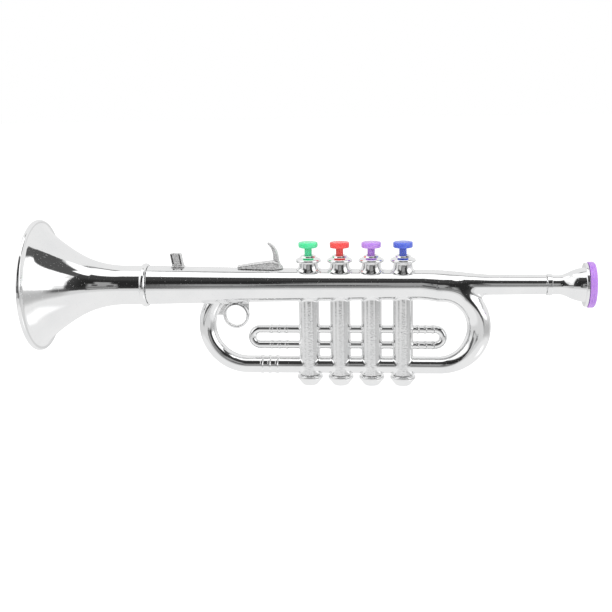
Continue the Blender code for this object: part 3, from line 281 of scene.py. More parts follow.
def slope_of(field, points):
    """The gradient of a field at the given points."""
    slope = np.empty_like(points)
    for axis in range(3):
        shift = np.zeros(3)
        shift[axis] = SLOPE_STEP
        slope[:, axis] = (field(points + shift) - field(points - shift)) / (2 * SLOPE_STEP)
    return slope


def move_onto(field, points, chosen, cell, in_plane=False):
    """Moves the chosen points to where the field is zero, with in_plane without leaving their side."""
    for _ in range(SURFACE_MOVES):
        slope = slope_of(field, points[chosen])
        if in_plane:
            slope[:, 1] = 0.0
        steepness = np.maximum((slope ** 2).sum(1), LEAST_STEEPNESS)
        move = -slope * (field(points[chosen]) / steepness)[:, None]
        points[chosen] += np.clip(move, -cell / 3, cell / 3)


def grid_surface(field, low, high, cell, flat_side=None):
    """The surface where a field is zero, as (points, four-cornered faces, unit normals).

    Each cell of a grid that the surface crosses gets one point, which is then moved onto the surface. With
    flat_side the solid is also cut by the plane at that side, and the points by the plane are moved into it.
    """
    axes = [np.arange(low[n], high[n] + cell, cell) for n in range(3)]
    if flat_side is not None:
        axes[1] = flat_side + cell * (np.arange(len(axes[1])) - len(axes[1]) + 1.5)
    size = tuple(len(axis) for axis in axes)
    across, up = np.meshgrid(axes[1], axes[2], indexing="ij")
    values = np.empty(size)
    for n, station in enumerate(axes[0]):
        sheet = np.stack([np.full(across.size, station), across.ravel(), up.ravel()], 1)
        values[n] = field(sheet).reshape(across.shape)
    if flat_side is not None:
        values = np.maximum(values, (axes[1] - flat_side)[None, :, None])
    inside = values < 0

    corners = [(i, j, k) for i in (0, 1) for j in (0, 1) for k in (0, 1)]
    steps = np.eye(3, dtype=int)
    spans = [slice(0, -1), slice(1, None)]
    count = sum(inside[spans[i], spans[j], spans[k]].astype(int) for i, j, k in corners)
    cells = np.argwhere((count > 0) & (count < len(corners)))
    origin = np.array([axis[0] for axis in axes])
    total = np.zeros((len(cells), 3))
    crossed = np.zeros(len(cells))
    for corner in corners:
        for step in steps[np.array(corner) == 0]:
            first = values[tuple((cells + corner).T)]
            second = values[tuple((cells + corner + step).T)]
            crossing = (first < 0) != (second < 0)
            share = np.where(crossing, first / np.where(crossing, first - second, 1.0), 0.0)
            total += np.where(crossing[:, None], corner + share[:, None] * step, 0.0)
            crossed += crossing
    points = origin + (cells + total / crossed[:, None]) * cell

    flat = np.zeros(len(cells), bool)
    if flat_side is not None:
        flat = cells[:, 1] == size[1] - 2
        points[flat, 1] = flat_side
        # A cell at the seam whose four corners aren't all in the solid has its point on the seam's edge
        beside = inside[:, -2, :]
        column = cells[flat][:, (0, 2)]
        whole = sum(beside[column[:, 0] + i, column[:, 1] + k].astype(int) for i in (0, 1) for k in (0, 1))
        move_onto(field, points, np.flatnonzero(flat)[whole < 4], cell, in_plane=True)
    move_onto(field, points, ~flat, cell)
    normals = slope_of(field, points)
    normals /= np.linalg.norm(normals, axis=1)[:, None]

    number = np.full(tuple(n - 1 for n in size), -1)
    number[tuple(cells.T)] = np.arange(len(cells))
    faces = []
    for axis in range(3):
        one, two = (axis + 1) % 3, (axis + 2) % 3
        change = -np.diff(inside.astype(int), axis=axis)
        places = np.argwhere(change != 0)
        keep = (places[:, one] > 0) & (places[:, two] > 0)
        keep &= (places[:, one] < size[one] - 1) & (places[:, two] < size[two] - 1)
        places = places[keep]
        leaving = change[tuple(places.T)] > 0
        ring = []
        for i, j in ((-1, -1), (0, -1), (0, 0), (-1, 0)):
            ring.append(number[tuple((places + i * steps[one] + j * steps[two]).T)])
        ring = np.stack(ring, 1)
        ring[~leaving] = ring[~leaving][:, ::-1]
        faces.append(ring)
    return points, np.concatenate(faces), normals


def shown_mesh(name, points, faces, normals, flat_side=None):
    """A mesh from arrays in (station, side, height), with smooth shading by the given normals."""
    mesh = bpy.data.meshes.new(name)
    mesh.from_pydata((points + ORIGIN).tolist(), [], faces.tolist())
    mesh.shade_smooth()
    looped = normals[faces]
    if flat_side is not None:
        on_seam = (np.abs(points[faces][:, :, 1] - flat_side) < 1e-9).all(1)
        looped[on_seam] = (0.0, math.copysign(1.0, -flat_side), 0.0)
    mesh.normals_split_custom_set(looped.reshape(-1, 3).tolist())
    return link(name, mesh)


def link(name, data):
    obj = bpy.data.objects.new(name, data)
    bpy.context.scene.collection.objects.link(obj)
    return obj


def paint(obj, finish):
    """Gives a piece the material of its finish, which is a slot's name and a material."""
    slot, material = finish
    obj.data.materials.clear()
    obj.data.materials.append(material)


def dress(obj, finish, node, body="trumpet"):
    """Paints a piece and lets it ride on a body and stand for a node."""
    paint(obj, finish)
    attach(obj, body)
    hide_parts(node)


BODY_CELL = 0.0007


def body_shells():
    """The two halves of the moulding: the front one on the grid, the back one as its mirror image."""
    seam = -SEAM_GAP / 2
    margin = 3 * BODY_CELL
    low = (SPIGOT_START - margin, -TUBE_BELL_RADIUS - margin, -CASING_BOTTOM - margin)
    high = (BODY_END + margin, seam, TUBE_BELL_RADIUS + margin)
    points, faces, normals = grid_surface(moulding_distance, low, high, BODY_CELL, flat_side=seam)
    front = shown_mesh("body_front_shell", points, faces, normals, seam)
    mirror = np.array((1.0, -1.0, 1.0))
    back = shown_mesh("body_back_shell", points * mirror, faces[:, ::-1], normals * mirror, -seam)
    dress(front, CHROME, "body_front")
    dress(back, CHROME, "body_back")


def curve_through(points, steps):
    """A smooth curve through points, with a number of steps between each two of them."""
    points = [Vector(p) for p in points]
    curve = []
    for n, (start, end) in enumerate(zip(points, points[1:])):
        before = points[max(n - 1, 0)]
        after = points[min(n + 2, len(points) - 1)]
        square = 2 * before - 5 * start + 4 * end - after
        cube = 3 * start - before - 3 * end + after
        for k in range(steps):
            t = k / steps
            curve.append(tuple(0.5 * (2 * start + (end - before) * t + square * t ** 2 + cube * t ** 3)))
    return [*curve, tuple(points[-1])]


MOST_ROUNDED = 0.48


def rounded(corners, steps):
    """An outline with its corners rounded; each corner is (radius, along, rounding)."""
    outline = []
    count = len(corners)
    for n, (radius, along, rounding) in enumerate(corners):
        corner = Vector((radius, along))
        before = Vector(corners[n - 1][:2]) - corner
        after = Vector(corners[(n + 1) % count][:2]) - corner
        if rounding <= 0.0:
            outline.append((radius, along))
            continue
        reach = min(rounding, before.length * MOST_ROUNDED, after.length * MOST_ROUNDED)
        start = corner + before.normalized() * reach
        end = corner + after.normalized() * reach
        for k in range(steps + 1):
            t = k / steps
            point = start * (1 - t) ** 2 + corner * 2 * t * (1 - t) + end * t ** 2
            outline.append(tuple(point))
    return outline


SHARP_ANGLE = math.radians(40)


def turned(name, outline, segments, station, along_tube=False, shape=None):
    """A solid turned from a closed outline of (radius, along), about the tube's axis or upright at a station.

    Radius 0 is one point on the axis. The optional shape function moves the points once they are placed.
    """
    points = []
    rows = []
    for radius, along in outline:
        count = segments if radius > 0.0 else 1
        rows.append([len(points) + n % count for n in range(segments)])
        for n in range(count):
            angle = 2 * math.pi * n / segments
            points.append((radius * math.cos(angle), radius * math.sin(angle), along))
    points = np.array(points)
    if along_tube:
        points = np.stack([points[:, 2], points[:, 0], points[:, 1]], 1)
    points[:, 0] += station
    if shape is not None:
        points = shape(points)
    obj = solid(name, points, ring_faces(rows + rows[:1]))
    obj.data.set_sharp_from_angle(angle=SHARP_ANGLE)
    return obj


def ring_faces(rows):
    """The faces between each row of point numbers and the next; those that close up are left out."""
    faces = []
    for row, below in zip(rows, rows[1:]):
        for n in range(len(row)):
            m = (n + 1) % len(row)
            ring = [row[n], row[m], below[m], below[n]]
            ring = [v for k, v in enumerate(ring) if v != ring[k - 1]]
            if len(ring) > 2:
                faces.append(ring)
    return faces


def solid(name, points, faces):
    """A smooth closed mesh from points in (station, side, height), its faces turned outwards."""
    mesh = bpy.data.meshes.new(name)
    mesh.from_pydata((points + ORIGIN).tolist(), [], faces)
    mesh.calc_loop_triangles()
    corners = np.empty(len(mesh.loop_triangles) * 3, np.int64)
    mesh.loop_triangles.foreach_get("vertices", corners)
    a, b, c = ((points + ORIGIN)[corners[n::3]] for n in range(3))
    if (a * np.cross(b, c)).sum() < 0:
        mesh.flip_normals()
    mesh.shade_smooth()
    return link(name, mesh)


# Bell
BELL_LENGTH = SHOULDER - SEAT_GAP
BELL_RIM_RADIUS = (BELL_BOX[1].z - BELL_BOX[0].z) / 2
BELL_MOUTH_RADIUS = BELL_RIM_RADIUS - 0.0036
BELL_THROAT_RADIUS = 0.0146
BELL_WALL = 0.0015
BELL_BEAD_WIDTH = 0.0034
BELL_FLARE_LENGTH = 0.0632
BELL_COLLAR_RADIUS = 0.0163
BELL_COLLAR_WIDTH = 0.0042
BELL_SEGMENTS = 192
BELL_COLLAR_STEPS = 20
BELL_FLARE_STEPS = 72
BELL_FILLET_STEPS = 6
# Parts of the flare's outline by the second and higher powers of the length that is left
BELL_FLARE_PARTS = (1.483, -4.213, 11.475, -12.71, 4.965)


def bell():
    """The bell: a thin flared shell, a rolled rim and a half-round collar where it meets the body."""
    spread = BELL_MOUTH_RADIUS - BELL_THROAT_RADIUS
    left = 1 - np.linspace(0.0, 1.0, BELL_FLARE_STEPS + 1)
    out = sum(part * left ** (n + 2) for n, part in enumerate(BELL_FLARE_PARTS))
    flare = [
        (BELL_THROAT_RADIUS + spread * share, BELL_BEAD_WIDTH + BELL_FLARE_LENGTH * (1 - rest))
        for share, rest in zip(out.tolist(), left.tolist())
    ]
    inner = [(radius - BELL_WALL, along) for radius, along in flare]
    half_width = BELL_COLLAR_WIDTH / 2
    rise = BELL_COLLAR_RADIUS - BELL_THROAT_RADIUS
    collar = []
    for n in range(BELL_COLLAR_STEPS + 1):
        turn = math.pi * n / BELL_COLLAR_STEPS
        along = BELL_LENGTH - half_width * (1 + math.cos(turn))
        collar.append((BELL_THROAT_RADIUS + rise * math.sin(turn), along))
    collar.append((BELL_THROAT_RADIUS - BELL_WALL, BELL_LENGTH))
    bead = rounded([
        (BELL_MOUTH_RADIUS - BELL_WALL, BELL_BEAD_WIDTH * 0.7, 0.0006),
        (BELL_MOUTH_RADIUS - BELL_WALL / 2, 0.0, 0.0012),
        (BELL_RIM_RADIUS, 0.0, 0.0017),
        (BELL_RIM_RADIUS, BELL_BEAD_WIDTH, 0.0017),
        (BELL_MOUTH_RADIUS, BELL_BEAD_WIDTH, 0.0024),
        (*flare[BELL_FILLET_STEPS], 0.0),
    ], 8)
    outline = bead[:-1] + flare[BELL_FILLET_STEPS:] + collar + inner[::-1]
    obj = turned("bell_shell", outline, BELL_SEGMENTS, 0.0, along_tube=True)
    dress(obj, CHROME, "bell")


# Mouthpiece and its rim
MOUTH_START = BODY_END + SEAT_GAP
MOUTH_END = MOUTH_START + 0.0283
MOUTH_BEAD_END = MOUTH_START + 0.0036
MOUTH_BEAD_RADIUS = 0.00785
MOUTH_CONE_START = MOUTH_BEAD_END + 0.0052
MOUTH_CONE_RADIUS = 0.0124
MOUTH_FLANGE_RADIUS = 0.0159
MOUTH_FLANGE_START = MOUTH_END - 0.0021
MOUTH_CUP_RADIUS = 0.0108
MOUTH_CUP_DEPTH = 0.0145
MOUTH_THROAT_RADIUS = 0.0022
MOUTH_SHANK_RADIUS = 0.00525
MOUTH_CUP_STEPS = 12
MOUTH_CONE_STEPS = 5
MOUTH_CONE_SHARES = ((0.0, 0.0), (0.15, 0.1), (0.35, 0.36), (0.55, 0.66), (0.8, 0.9), (1.0, 1.0))
MOUTH_SEGMENTS = 96
RIM_RADIUS = 0.0166
RIM_HOLE_RADIUS = 0.0112


def mouthpiece():
    """Shank, bead, cone and flange of the mouthpiece round its cup."""
    shank_end = BODY_END - SOCKET_DEPTH + SEAT_GAP
    pipe = LEADPIPE_END_RADIUS
    length = MOUTH_FLANGE_START - MOUTH_CONE_START
    cone = [
        (pipe + (MOUTH_CONE_RADIUS - pipe) * out, MOUTH_CONE_START + length * along)
        for along, out in MOUTH_CONE_SHARES
    ]
    cup = []
    for n in range(MOUTH_CUP_STEPS + 1):
        angle = math.pi / 2 * n / MOUTH_CUP_STEPS
        radius = MOUTH_THROAT_RADIUS + (MOUTH_CUP_RADIUS - MOUTH_THROAT_RADIUS) * math.sin(angle)
        cup.append((radius, MOUTH_END - MOUTH_CUP_DEPTH * math.cos(angle)))
    shank = [
        (MOUTH_THROAT_RADIUS, shank_end),
        (MOUTH_SHANK_RADIUS, shank_end),
        (MOUTH_SHANK_RADIUS, MOUTH_START),
    ]
    bead = rounded([
        (pipe, MOUTH_START, 0.0),
        (MOUTH_BEAD_RADIUS, MOUTH_START, 0.0011),
        (MOUTH_BEAD_RADIUS, MOUTH_BEAD_END, 0.0011),
        (pipe, MOUTH_BEAD_END, 0.0),
    ], 6)
    flange = rounded([
        (MOUTH_CONE_RADIUS, MOUTH_FLANGE_START, 0.0),
        (MOUTH_FLANGE_RADIUS, MOUTH_FLANGE_START, 0.0006),
        (MOUTH_FLANGE_RADIUS, MOUTH_END, 0.0004),
        (MOUTH_CUP_RADIUS, MOUTH_END, 0.0),
    ], 4)
    outline = shank + bead + curve_through(cone, MOUTH_CONE_STEPS) + flange[1:-1] + cup[::-1]
    obj = turned("mouthpiece_cup", outline, MOUTH_SEGMENTS, 0.0, along_tube=True)
    dress(obj, CHROME, "mouthpiece")


def mouthpiece_rim():
    """The coloured ring on the flange, with a well-rounded outer edge and a flat face."""
    start = MOUTH_END + SEAT_GAP
    outline = rounded([
        (RIM_HOLE_RADIUS, start, 0.0003),
        (RIM_RADIUS, start, 0.0008),
        (RIM_RADIUS, OVERALL_LENGTH, 0.0028),
        (RIM_HOLE_RADIUS, OVERALL_LENGTH, 0.0009),
    ], 8)
    obj = turned("mouthpiece_ring", outline, MOUTH_SEGMENTS, 0.0, along_tube=True)
    dress(obj, RIM_PLASTIC, "mouthpiece_rim")


# Collars
COLLAR_BORE_RADIUS = 0.0044
COLLAR_CEILING = 0.0208
COLLAR_NECK_RADIUS = 0.0069
COLLAR_SPIGOT_RADIUS = 0.0053
COLLAR_SPIGOT_DEPTH = 0.0022
COLLAR_FOOT_SIDE_RADIUS = 0.0089
COLLAR_FOOT_FRONT_RADIUS = 0.0074
COLLAR_FLARE_HEIGHT = 0.0042
COLLAR_FOOT_STEPS = 8
COLLAR_FOOT_POWER = 1.5
COLLAR_SEGMENTS = 64
# Ceiling, stem hole, recess, sloping ring and brim as (radius, height, rounding)
COLLAR_HEAD = (
    (COLLAR_BORE_RADIUS, COLLAR_CEILING, 0.0), (0.003, COLLAR_CEILING, 0.0), (0.003, 0.0215, 0.0001),
    (0.0038, 0.0215, 0.0001), (0.0038, 0.0222, 0.0003), (0.0054, 0.0222, 0.0006), (0.0062, 0.0207, 0.0004),
    (0.0093, 0.0191, 0.0009), (0.0093, 0.017, 0.001), (COLLAR_NECK_RADIUS, 0.0168, 0.0007),
)


def saddle(station, side):
    """Height of a collar's seat on the tube."""
    return np.sqrt(np.maximum(tube_radius(station) ** 2 - side ** 2, 0.0)) + SEAT_GAP / 2


def collar(number, valve):
    """A collar: spigot, foot flared to sit on the tube, neck, thick brim, sloping ring round the stem."""
    surface = float(tube_radius(valve))
    spigot_bottom = surface - COLLAR_SPIGOT_DEPTH
    top = surface + COLLAR_FLARE_HEIGHT
    head = rounded([*COLLAR_HEAD, (COLLAR_NECK_RADIUS, top, 0.0)], 5)
    # The foot's rows only need places of their own here, as seat() spreads them
    foot = [(COLLAR_NECK_RADIUS, surface - n * 1e-6) for n in range(1, COLLAR_FOOT_STEPS + 1)]
    under = [
        (COLLAR_SPIGOT_RADIUS, surface),
        (COLLAR_SPIGOT_RADIUS, spigot_bottom),
        (COLLAR_BORE_RADIUS, spigot_bottom),
    ]
    outline = head + foot + under

    def seat(points):
        """Spreads the foot's rows over the tube, wide along it and close round it."""
        rows = points.reshape(len(outline), COLLAR_SEGMENTS, 3)
        angles = 2 * np.pi * np.arange(COLLAR_SEGMENTS) / COLLAR_SEGMENTS
        width = np.abs(np.cos(angles)) ** COLLAR_FOOT_POWER
        foot_radius = COLLAR_FOOT_FRONT_RADIUS + (COLLAR_FOOT_SIDE_RADIUS - COLLAR_FOOT_FRONT_RADIUS) * width
        stations = valve + foot_radius * np.cos(angles)
        bottom = saddle(stations, foot_radius * np.sin(angles))
        for n in range(COLLAR_FOOT_STEPS):
            turn = math.pi / 2 * (n + 1) / COLLAR_FOOT_STEPS
            radius = COLLAR_NECK_RADIUS + (foot_radius - COLLAR_NECK_RADIUS) * (1 - math.cos(turn))
            row = rows[len(head) + n]
            row[:, 0] = valve + radius * np.cos(angles)
            row[:, 1] = radius * np.sin(angles)
            row[:, 2] = top + (bottom - top) * math.sin(turn)
        hollow = rows[len(head) + COLLAR_FOOT_STEPS]
        hollow[:, 2] = saddle(hollow[:, 0], hollow[:, 1])
        return rows.reshape(-1, 3)

    obj = turned(f"collar_{number}", outline, COLLAR_SEGMENTS, valve, shape=seat)
    dress(obj, CHROME, f"valve_collar_{number}")


# Bottom caps
CAP_FLAT_RADIUS = 0.0042
CAP_SEGMENTS = 64
# Spigot, neck and flange as (radius, height from the casing's end, rounding)
CAP_HEAD = (
    (0.0, -0.0004, 0.0), (0.00435, -0.0004, 0.0002), (0.00435, 0.004, 0.0002), (0.00575, 0.004, 0.0003),
    (0.00575, 0.0, 0.0), (CASING_RADIUS, 0.0, 0.0001), (CASING_RADIUS, -0.0004, 0.0002),
    (0.0093, -0.0004, 0.0007), (0.0093, -0.0025, 0.0006),
)


def bottom_cap(number, valve):
    """A bottom cap: spigot in the casing, rounded flange, shallow cone and the flat that it stands on."""
    end = -CASING_BOTTOM - SEAT_GAP
    outline = rounded([
        *((radius, end + up, rounding) for radius, up, rounding in CAP_HEAD),
        (CAP_FLAT_RADIUS + 0.0012, -AXIS_HEIGHT + 0.0003, 0.0012),
        (CAP_FLAT_RADIUS, -AXIS_HEIGHT, 0.0003),
        (0.0, -AXIS_HEIGHT, 0.0),
    ], 5)
    obj = turned(f"cap_{number}", outline, CAP_SEGMENTS, valve)
    dress(obj, CHROME, f"bottom_cap_{number}")


# Buttons
BUTTON_UNDERSIDE = 0.0276
BUTTON_TOP = 0.032
BUTTON_RADIUS = 0.0071
BUTTON_STEM_RADIUS = 0.0027
BUTTON_SOCKET_RADIUS = 0.0014
BUTTON_SOCKET_DEPTH = 0.0052
BUTTON_ROUNDS = {"green": (0.0022, 0.0018)}
BUTTON_USUAL_ROUNDS = (0.0011, 0.0009)
STOP_TOP = COLLAR_CEILING - SEAT_GAP
STOP_BOTTOM = STOP_TOP - 0.0014
BUTTON_SEGMENTS = 64


def button(colour, valve):
    """A button's disc on its stem; the socket under the stem takes the plunger's peg."""
    top_round, low_round = BUTTON_ROUNDS.get(colour, BUTTON_USUAL_ROUNDS)
    stem_bottom = STOP_TOP + SEAT_GAP
    outline = rounded([
        (0.0, BUTTON_TOP, 0.0),
        (BUTTON_RADIUS - 0.0016, BUTTON_TOP - 0.0001, 0.0012),
        (BUTTON_RADIUS, BUTTON_TOP - 0.0004, top_round),
        (BUTTON_RADIUS, BUTTON_UNDERSIDE, low_round),
        (BUTTON_STEM_RADIUS, BUTTON_UNDERSIDE, 0.0006),
        (BUTTON_STEM_RADIUS, stem_bottom, 0.0002),
        (BUTTON_SOCKET_RADIUS, stem_bottom, 0.0),
        (BUTTON_SOCKET_RADIUS, stem_bottom + BUTTON_SOCKET_DEPTH, 0.0),
        (0.0, stem_bottom + BUTTON_SOCKET_DEPTH, 0.0),
    ], 6)
    obj = turned(f"cap_{colour}", outline, BUTTON_SEGMENTS, valve)
    dress(obj, BUTTON_PLASTIC[colour], f"button_{colour}", f"{colour}_button")


# Finger hook
HOOK_LENGTH = 0.0342
HOOK_START = VALVES[0] - 0.0183 - HOOK_LENGTH
HOOK_FRONT_HEIGHT = 0.0145
HOOK_REAR_HEIGHT = 0.0181
HOOK_TOP_HEIGHT = 0.0317
HOOK_HALF_DEPTH = 0.0049
HOOK_BAND_HALF_DEPTH = 0.003
HOOK_CELL = 0.00035
HOOK_BAND_STEPS = 3
HOOK_BAND_TIP = 5
HOOK_BASE_SHARES = ((1.0, -0.3), (0.91, 0.5), (0.78, 1.0), (0.39, 0.58), (0.0, 0.0))
HOOK_PLAN_SHARES = ((0.0, 0.78), (0.78, 1.0), (0.91, 0.78), (1.0, 0.39))
HOOK_BAND_SHARES = (
    (0.80, 0.0), (0.79, 0.14), (0.775, 0.5), (0.735, 0.76), (0.66, 0.95), (0.685, 1.0), (0.775, 0.86),
    (0.845, 0.66), (0.885, 0.42), (0.9, 0.16), (0.91, 0.0),
)


def outline_distance(x, y, corners):
    """Signed distance in the plane to a closed outline, negative inside it."""
    nearest = np.full(x.shape, np.inf)
    inside = np.zeros(x.shape, bool)
    for n, (ax, ay) in enumerate(corners):
        bx, by = corners[n - 1]
        ex, ey = bx - ax, by - ay
        share = np.clip(((x - ax) * ex + (y - ay) * ey) / (ex * ex + ey * ey), 0.0, 1.0)
        nearest = np.minimum(nearest, np.hypot(x - ax - share * ex, y - ay - share * ey))
        level = ey if ey != 0 else 1e-12
        inside ^= ((ay > y) != (by > y)) & (x < ex * (y - ay) / level + ax)
    return np.where(inside, -nearest, nearest)


def hook_field():
    """The hook's field: a wedge on the tube and a band that curls up and back towards the bell."""
    side = [(HOOK_START, 0.0), (HOOK_START + HOOK_LENGTH, 0.0)]
    rise = HOOK_REAR_HEIGHT - HOOK_FRONT_HEIGHT
    for along, up in HOOK_BASE_SHARES:
        side.append((HOOK_START + HOOK_LENGTH * along, HOOK_FRONT_HEIGHT + rise * up))
    plan_stations = [HOOK_START + HOOK_LENGTH * along for along, _ in HOOK_PLAN_SHARES]
    plan_halves = [HOOK_HALF_DEPTH * out for _, out in HOOK_PLAN_SHARES]
    foot = HOOK_REAR_HEIGHT - HOOK_BAND_HALF_DEPTH / 2
    reach = HOOK_TOP_HEIGHT - foot
    shares = [(HOOK_LENGTH * along, reach * up) for along, up in HOOK_BAND_SHARES]
    inner = curve_through(shares[:HOOK_BAND_TIP], HOOK_BAND_STEPS)
    outer = curve_through(shares[HOOK_BAND_TIP:], HOOK_BAND_STEPS)
    band_outline = [(HOOK_START + along, foot + up) for along, up in inner + outer]

    def field(points):
        station, across, height = points[:, 0], np.abs(points[:, 1]), points[:, 2]
        half = np.interp(station, plan_stations, plan_halves)
        ends = np.maximum(HOOK_START - station, station - HOOK_START - HOOK_LENGTH)
        base = soft_max(outline_distance(station, height, side), across - half, 0.0014)
        base = soft_max(base, ends, 0.0008)
        band = outline_distance(station, height, band_outline)
        band = soft_max(band, across - HOOK_BAND_HALF_DEPTH, 0.0008)
        body = soft_min(base, band, 0.0016)
        seat = tube_radius(station) + SEAT_GAP - np.hypot(points[:, 1], height)
        return np.maximum(body, seat)

    return field


def finger_hook():
    margin = 4 * HOOK_CELL
    low = (HOOK_START - margin, -HOOK_HALF_DEPTH - margin, HOOK_FRONT_HEIGHT - 0.005)
    high = (HOOK_START + HOOK_LENGTH + margin, HOOK_HALF_DEPTH + margin, HOOK_TOP_HEIGHT + margin)
    obj = shown_mesh("hook", *grid_surface(hook_field(), low, high, HOOK_CELL))
    dress(obj, WORN_CHROME_WITH_PAINTED_CREASE_SHADE, "finger_hook")


# Lyre socket
LYRE_STATION = SHOULDER + 0.0226
LYRE_LENGTH = 0.0081
LYRE_DEPTH = 0.0054
LYRE_WALL = 0.0012
LYRE_HEIGHT = 0.0237
LYRE_FOOT_HEIGHT = 0.0115
LYRE_POCKET_DEPTH = 0.0075
LYRE_RAIL_WIDTH = 0.0011
LYRE_PANEL_DEPTH = 0.0003
LYRE_GROOVE_DEPTH = 0.0009
LYRE_GROOVE_WIDTH = 0.0009
LYRE_PANEL_FOOT = 0.0022
LYRE_LEAN = math.radians(10)


def lyre_field(points):
    """The socket's field: a leaning box with a level top and an open pocket, cut to the tube."""
    surface = float(tube_radius(LYRE_STATION))
    top = LYRE_HEIGHT - surface
    up = points[:, 2] - surface
    along = (points[:, 0] - LYRE_STATION + up * math.tan(LYRE_LEAN)) * math.cos(LYRE_LEAN)
    across = np.abs(points[:, 1])
    outside = across - LYRE_DEPTH / 2
    beyond = np.abs(along) - LYRE_LENGTH / 2 * math.cos(LYRE_LEAN)
    post = soft_max(beyond, outside, 0.0006)
    post = soft_max(post, up - top, 0.0005)
    from_rail = beyond + LYRE_RAIL_WIDTH
    panel = np.maximum(from_rail, -LYRE_PANEL_DEPTH - outside)
    inset = np.abs(from_rail) - LYRE_GROOVE_WIDTH / 2
    groove = np.maximum(inset, -LYRE_GROOVE_DEPTH - outside)
    panel = np.maximum(np.minimum(panel, groove), LYRE_PANEL_FOOT - up)
    post = soft_max(post, -panel, 0.0002)
    pocket = soft_max(beyond + LYRE_WALL, outside + LYRE_WALL, 0.0006)
    pocket = np.maximum(pocket, top - LYRE_POCKET_DEPTH - up)
    foot = np.hypot(points[:, 1], points[:, 2]) - tube_radius(points[:, 0])
    skirt = soft_min(post, np.maximum(foot - 0.0004, post - 0.0012), 0.0012)
    return np.maximum(soft_max(skirt, -pocket, 0.0003), SEAT_GAP - foot)


def lyre_socket():
    margin = 6 * HOOK_CELL
    lean = LYRE_HEIGHT * math.sin(LYRE_LEAN)
    low = (LYRE_STATION - LYRE_LENGTH / 2 - lean - margin, -LYRE_DEPTH / 2 - margin, LYRE_FOOT_HEIGHT)
    high = (LYRE_STATION + LYRE_LENGTH / 2 + margin, LYRE_DEPTH / 2 + margin, LYRE_HEIGHT + margin)
    obj = shown_mesh("lyre_holder", *grid_surface(lyre_field, low, high, HOOK_CELL))
    dress(obj, WORN_CHROME_WITH_PAINTED_CREASE_SHADE, "lyre_socket")


# Springs
SPRING_BOTTOM = 0.0067
SPRING_WIRE_RADIUS = 0.00035
SPRING_COIL_RADIUS = 0.0031
SPRING_TURNS = 4
SPRING_TURN_STEPS = 24
SPRING_AROUND = 12


def spring(number, valve):
    """The return spring, a coil of wire under its button's stop."""
    low = SPRING_BOTTOM + SPRING_WIRE_RADIUS
    high = STOP_BOTTOM - SEAT_GAP - SPRING_WIRE_RADIUS
    count = SPRING_TURNS * SPRING_TURN_STEPS
    points = []
    for n in range(count + 1):
        turn = 2 * math.pi * SPRING_TURNS * n / count
        outward = np.array((math.cos(turn), math.sin(turn), 0.0))
        middle = outward * SPRING_COIL_RADIUS + np.array((valve, 0.0, low + (high - low) * n / count))
        for k in range(SPRING_AROUND):
            angle = 2 * math.pi * k / SPRING_AROUND
            across = outward * math.cos(angle) + np.array((0.0, 0.0, math.sin(angle)))
            points.append(middle + SPRING_WIRE_RADIUS * across)
    rows = np.arange(len(points)).reshape(-1, SPRING_AROUND).tolist()
    faces = [*ring_faces(rows), rows[0], rows[-1][::-1]]
    obj = solid(f"spring_{number}", np.array(points), faces)
    dress(obj, STEEL, f"valve_spring_{number}")
    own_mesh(obj)


def set_sockets(tree, node, sockets):
    """Gives each of a node's sockets, by name or number, its value or link."""
    for key, value in sockets.items():
        if isinstance(value, bpy.types.NodeSocket):
            tree.links.new(value, node.inputs[key])
        else:
            node.inputs[key].default_value = value


def add_node(tree, kind, sockets):
    node = tree.nodes.new(f"ShaderNode{kind}")
    set_sockets(tree, node, sockets)
    return node


def new_material(name):
    material = bpy.data.materials.new(name)
    material.use_nodes = True
    tree = material.node_tree
    return material, tree, tree.nodes["Principled BSDF"]


def noise(tree, scale, detail, roughness=0.55, stretch=None):
    """A noise value over the piece's own coordinates, in features per metre."""
    vector = add_node(tree, "TexCoord", {}).outputs["Object"]
    if stretch is not None:
        vector = add_node(tree, "Mapping", {"Scale": stretch, "Vector": vector}).outputs["Vector"]
    sockets = {"Scale": scale, "Detail": detail, "Roughness": roughness, "Vector": vector}
    return add_node(tree, "TexNoise", sockets).outputs["Fac"]


def spread(tree, value, low, high, start=0.3, end=0.7):
    """Maps a value that goes from start to end, such as a noise, to one that goes from low to high."""
    sockets = {"Value": value, "From Min": start, "From Max": end, "To Min": low, "To Max": high}
    return add_node(tree, "MapRange", sockets).outputs["Result"]


def maths(tree, operation, *values):
    node = add_node(tree, "Math", dict(enumerate(values)))
    node.operation = operation
    return node.outputs["Value"]


def ramp(tree, value, *stops):
    """A colour ramp over (position, colour) stops."""
    node = add_node(tree, "ValToRGB", {"Fac": value})
    for _ in stops[2:]:
        node.color_ramp.elements.new(0.5)
    for element, (position, colour) in zip(node.color_ramp.elements, stops):
        element.position = position
        element.color = (*colour, 1.0)
    return node.outputs["Color"]


def bump(tree, *layers):
    """The normal of a stack of bump layers, each (height value, distance, strength)."""
    below = {}
    for value, distance, strength in layers:
        sockets = {"Height": value, "Distance": distance, "Strength": strength, **below}
        normal = add_node(tree, "Bump", sockets).outputs["Normal"]
        below = {"Normal": normal}
    return normal


# Chrome: its pits, and the frosted plating of the valve casings
PIT_ROUGHNESS = 0.35
FROST_ROUGHNESS = 0.035
FROST_METAL = 0.84
FROST_TOP = -0.0125
FROST_FADE = 0.02
FROST_REACH = 0.0065
FROST_EDGE = 0.002


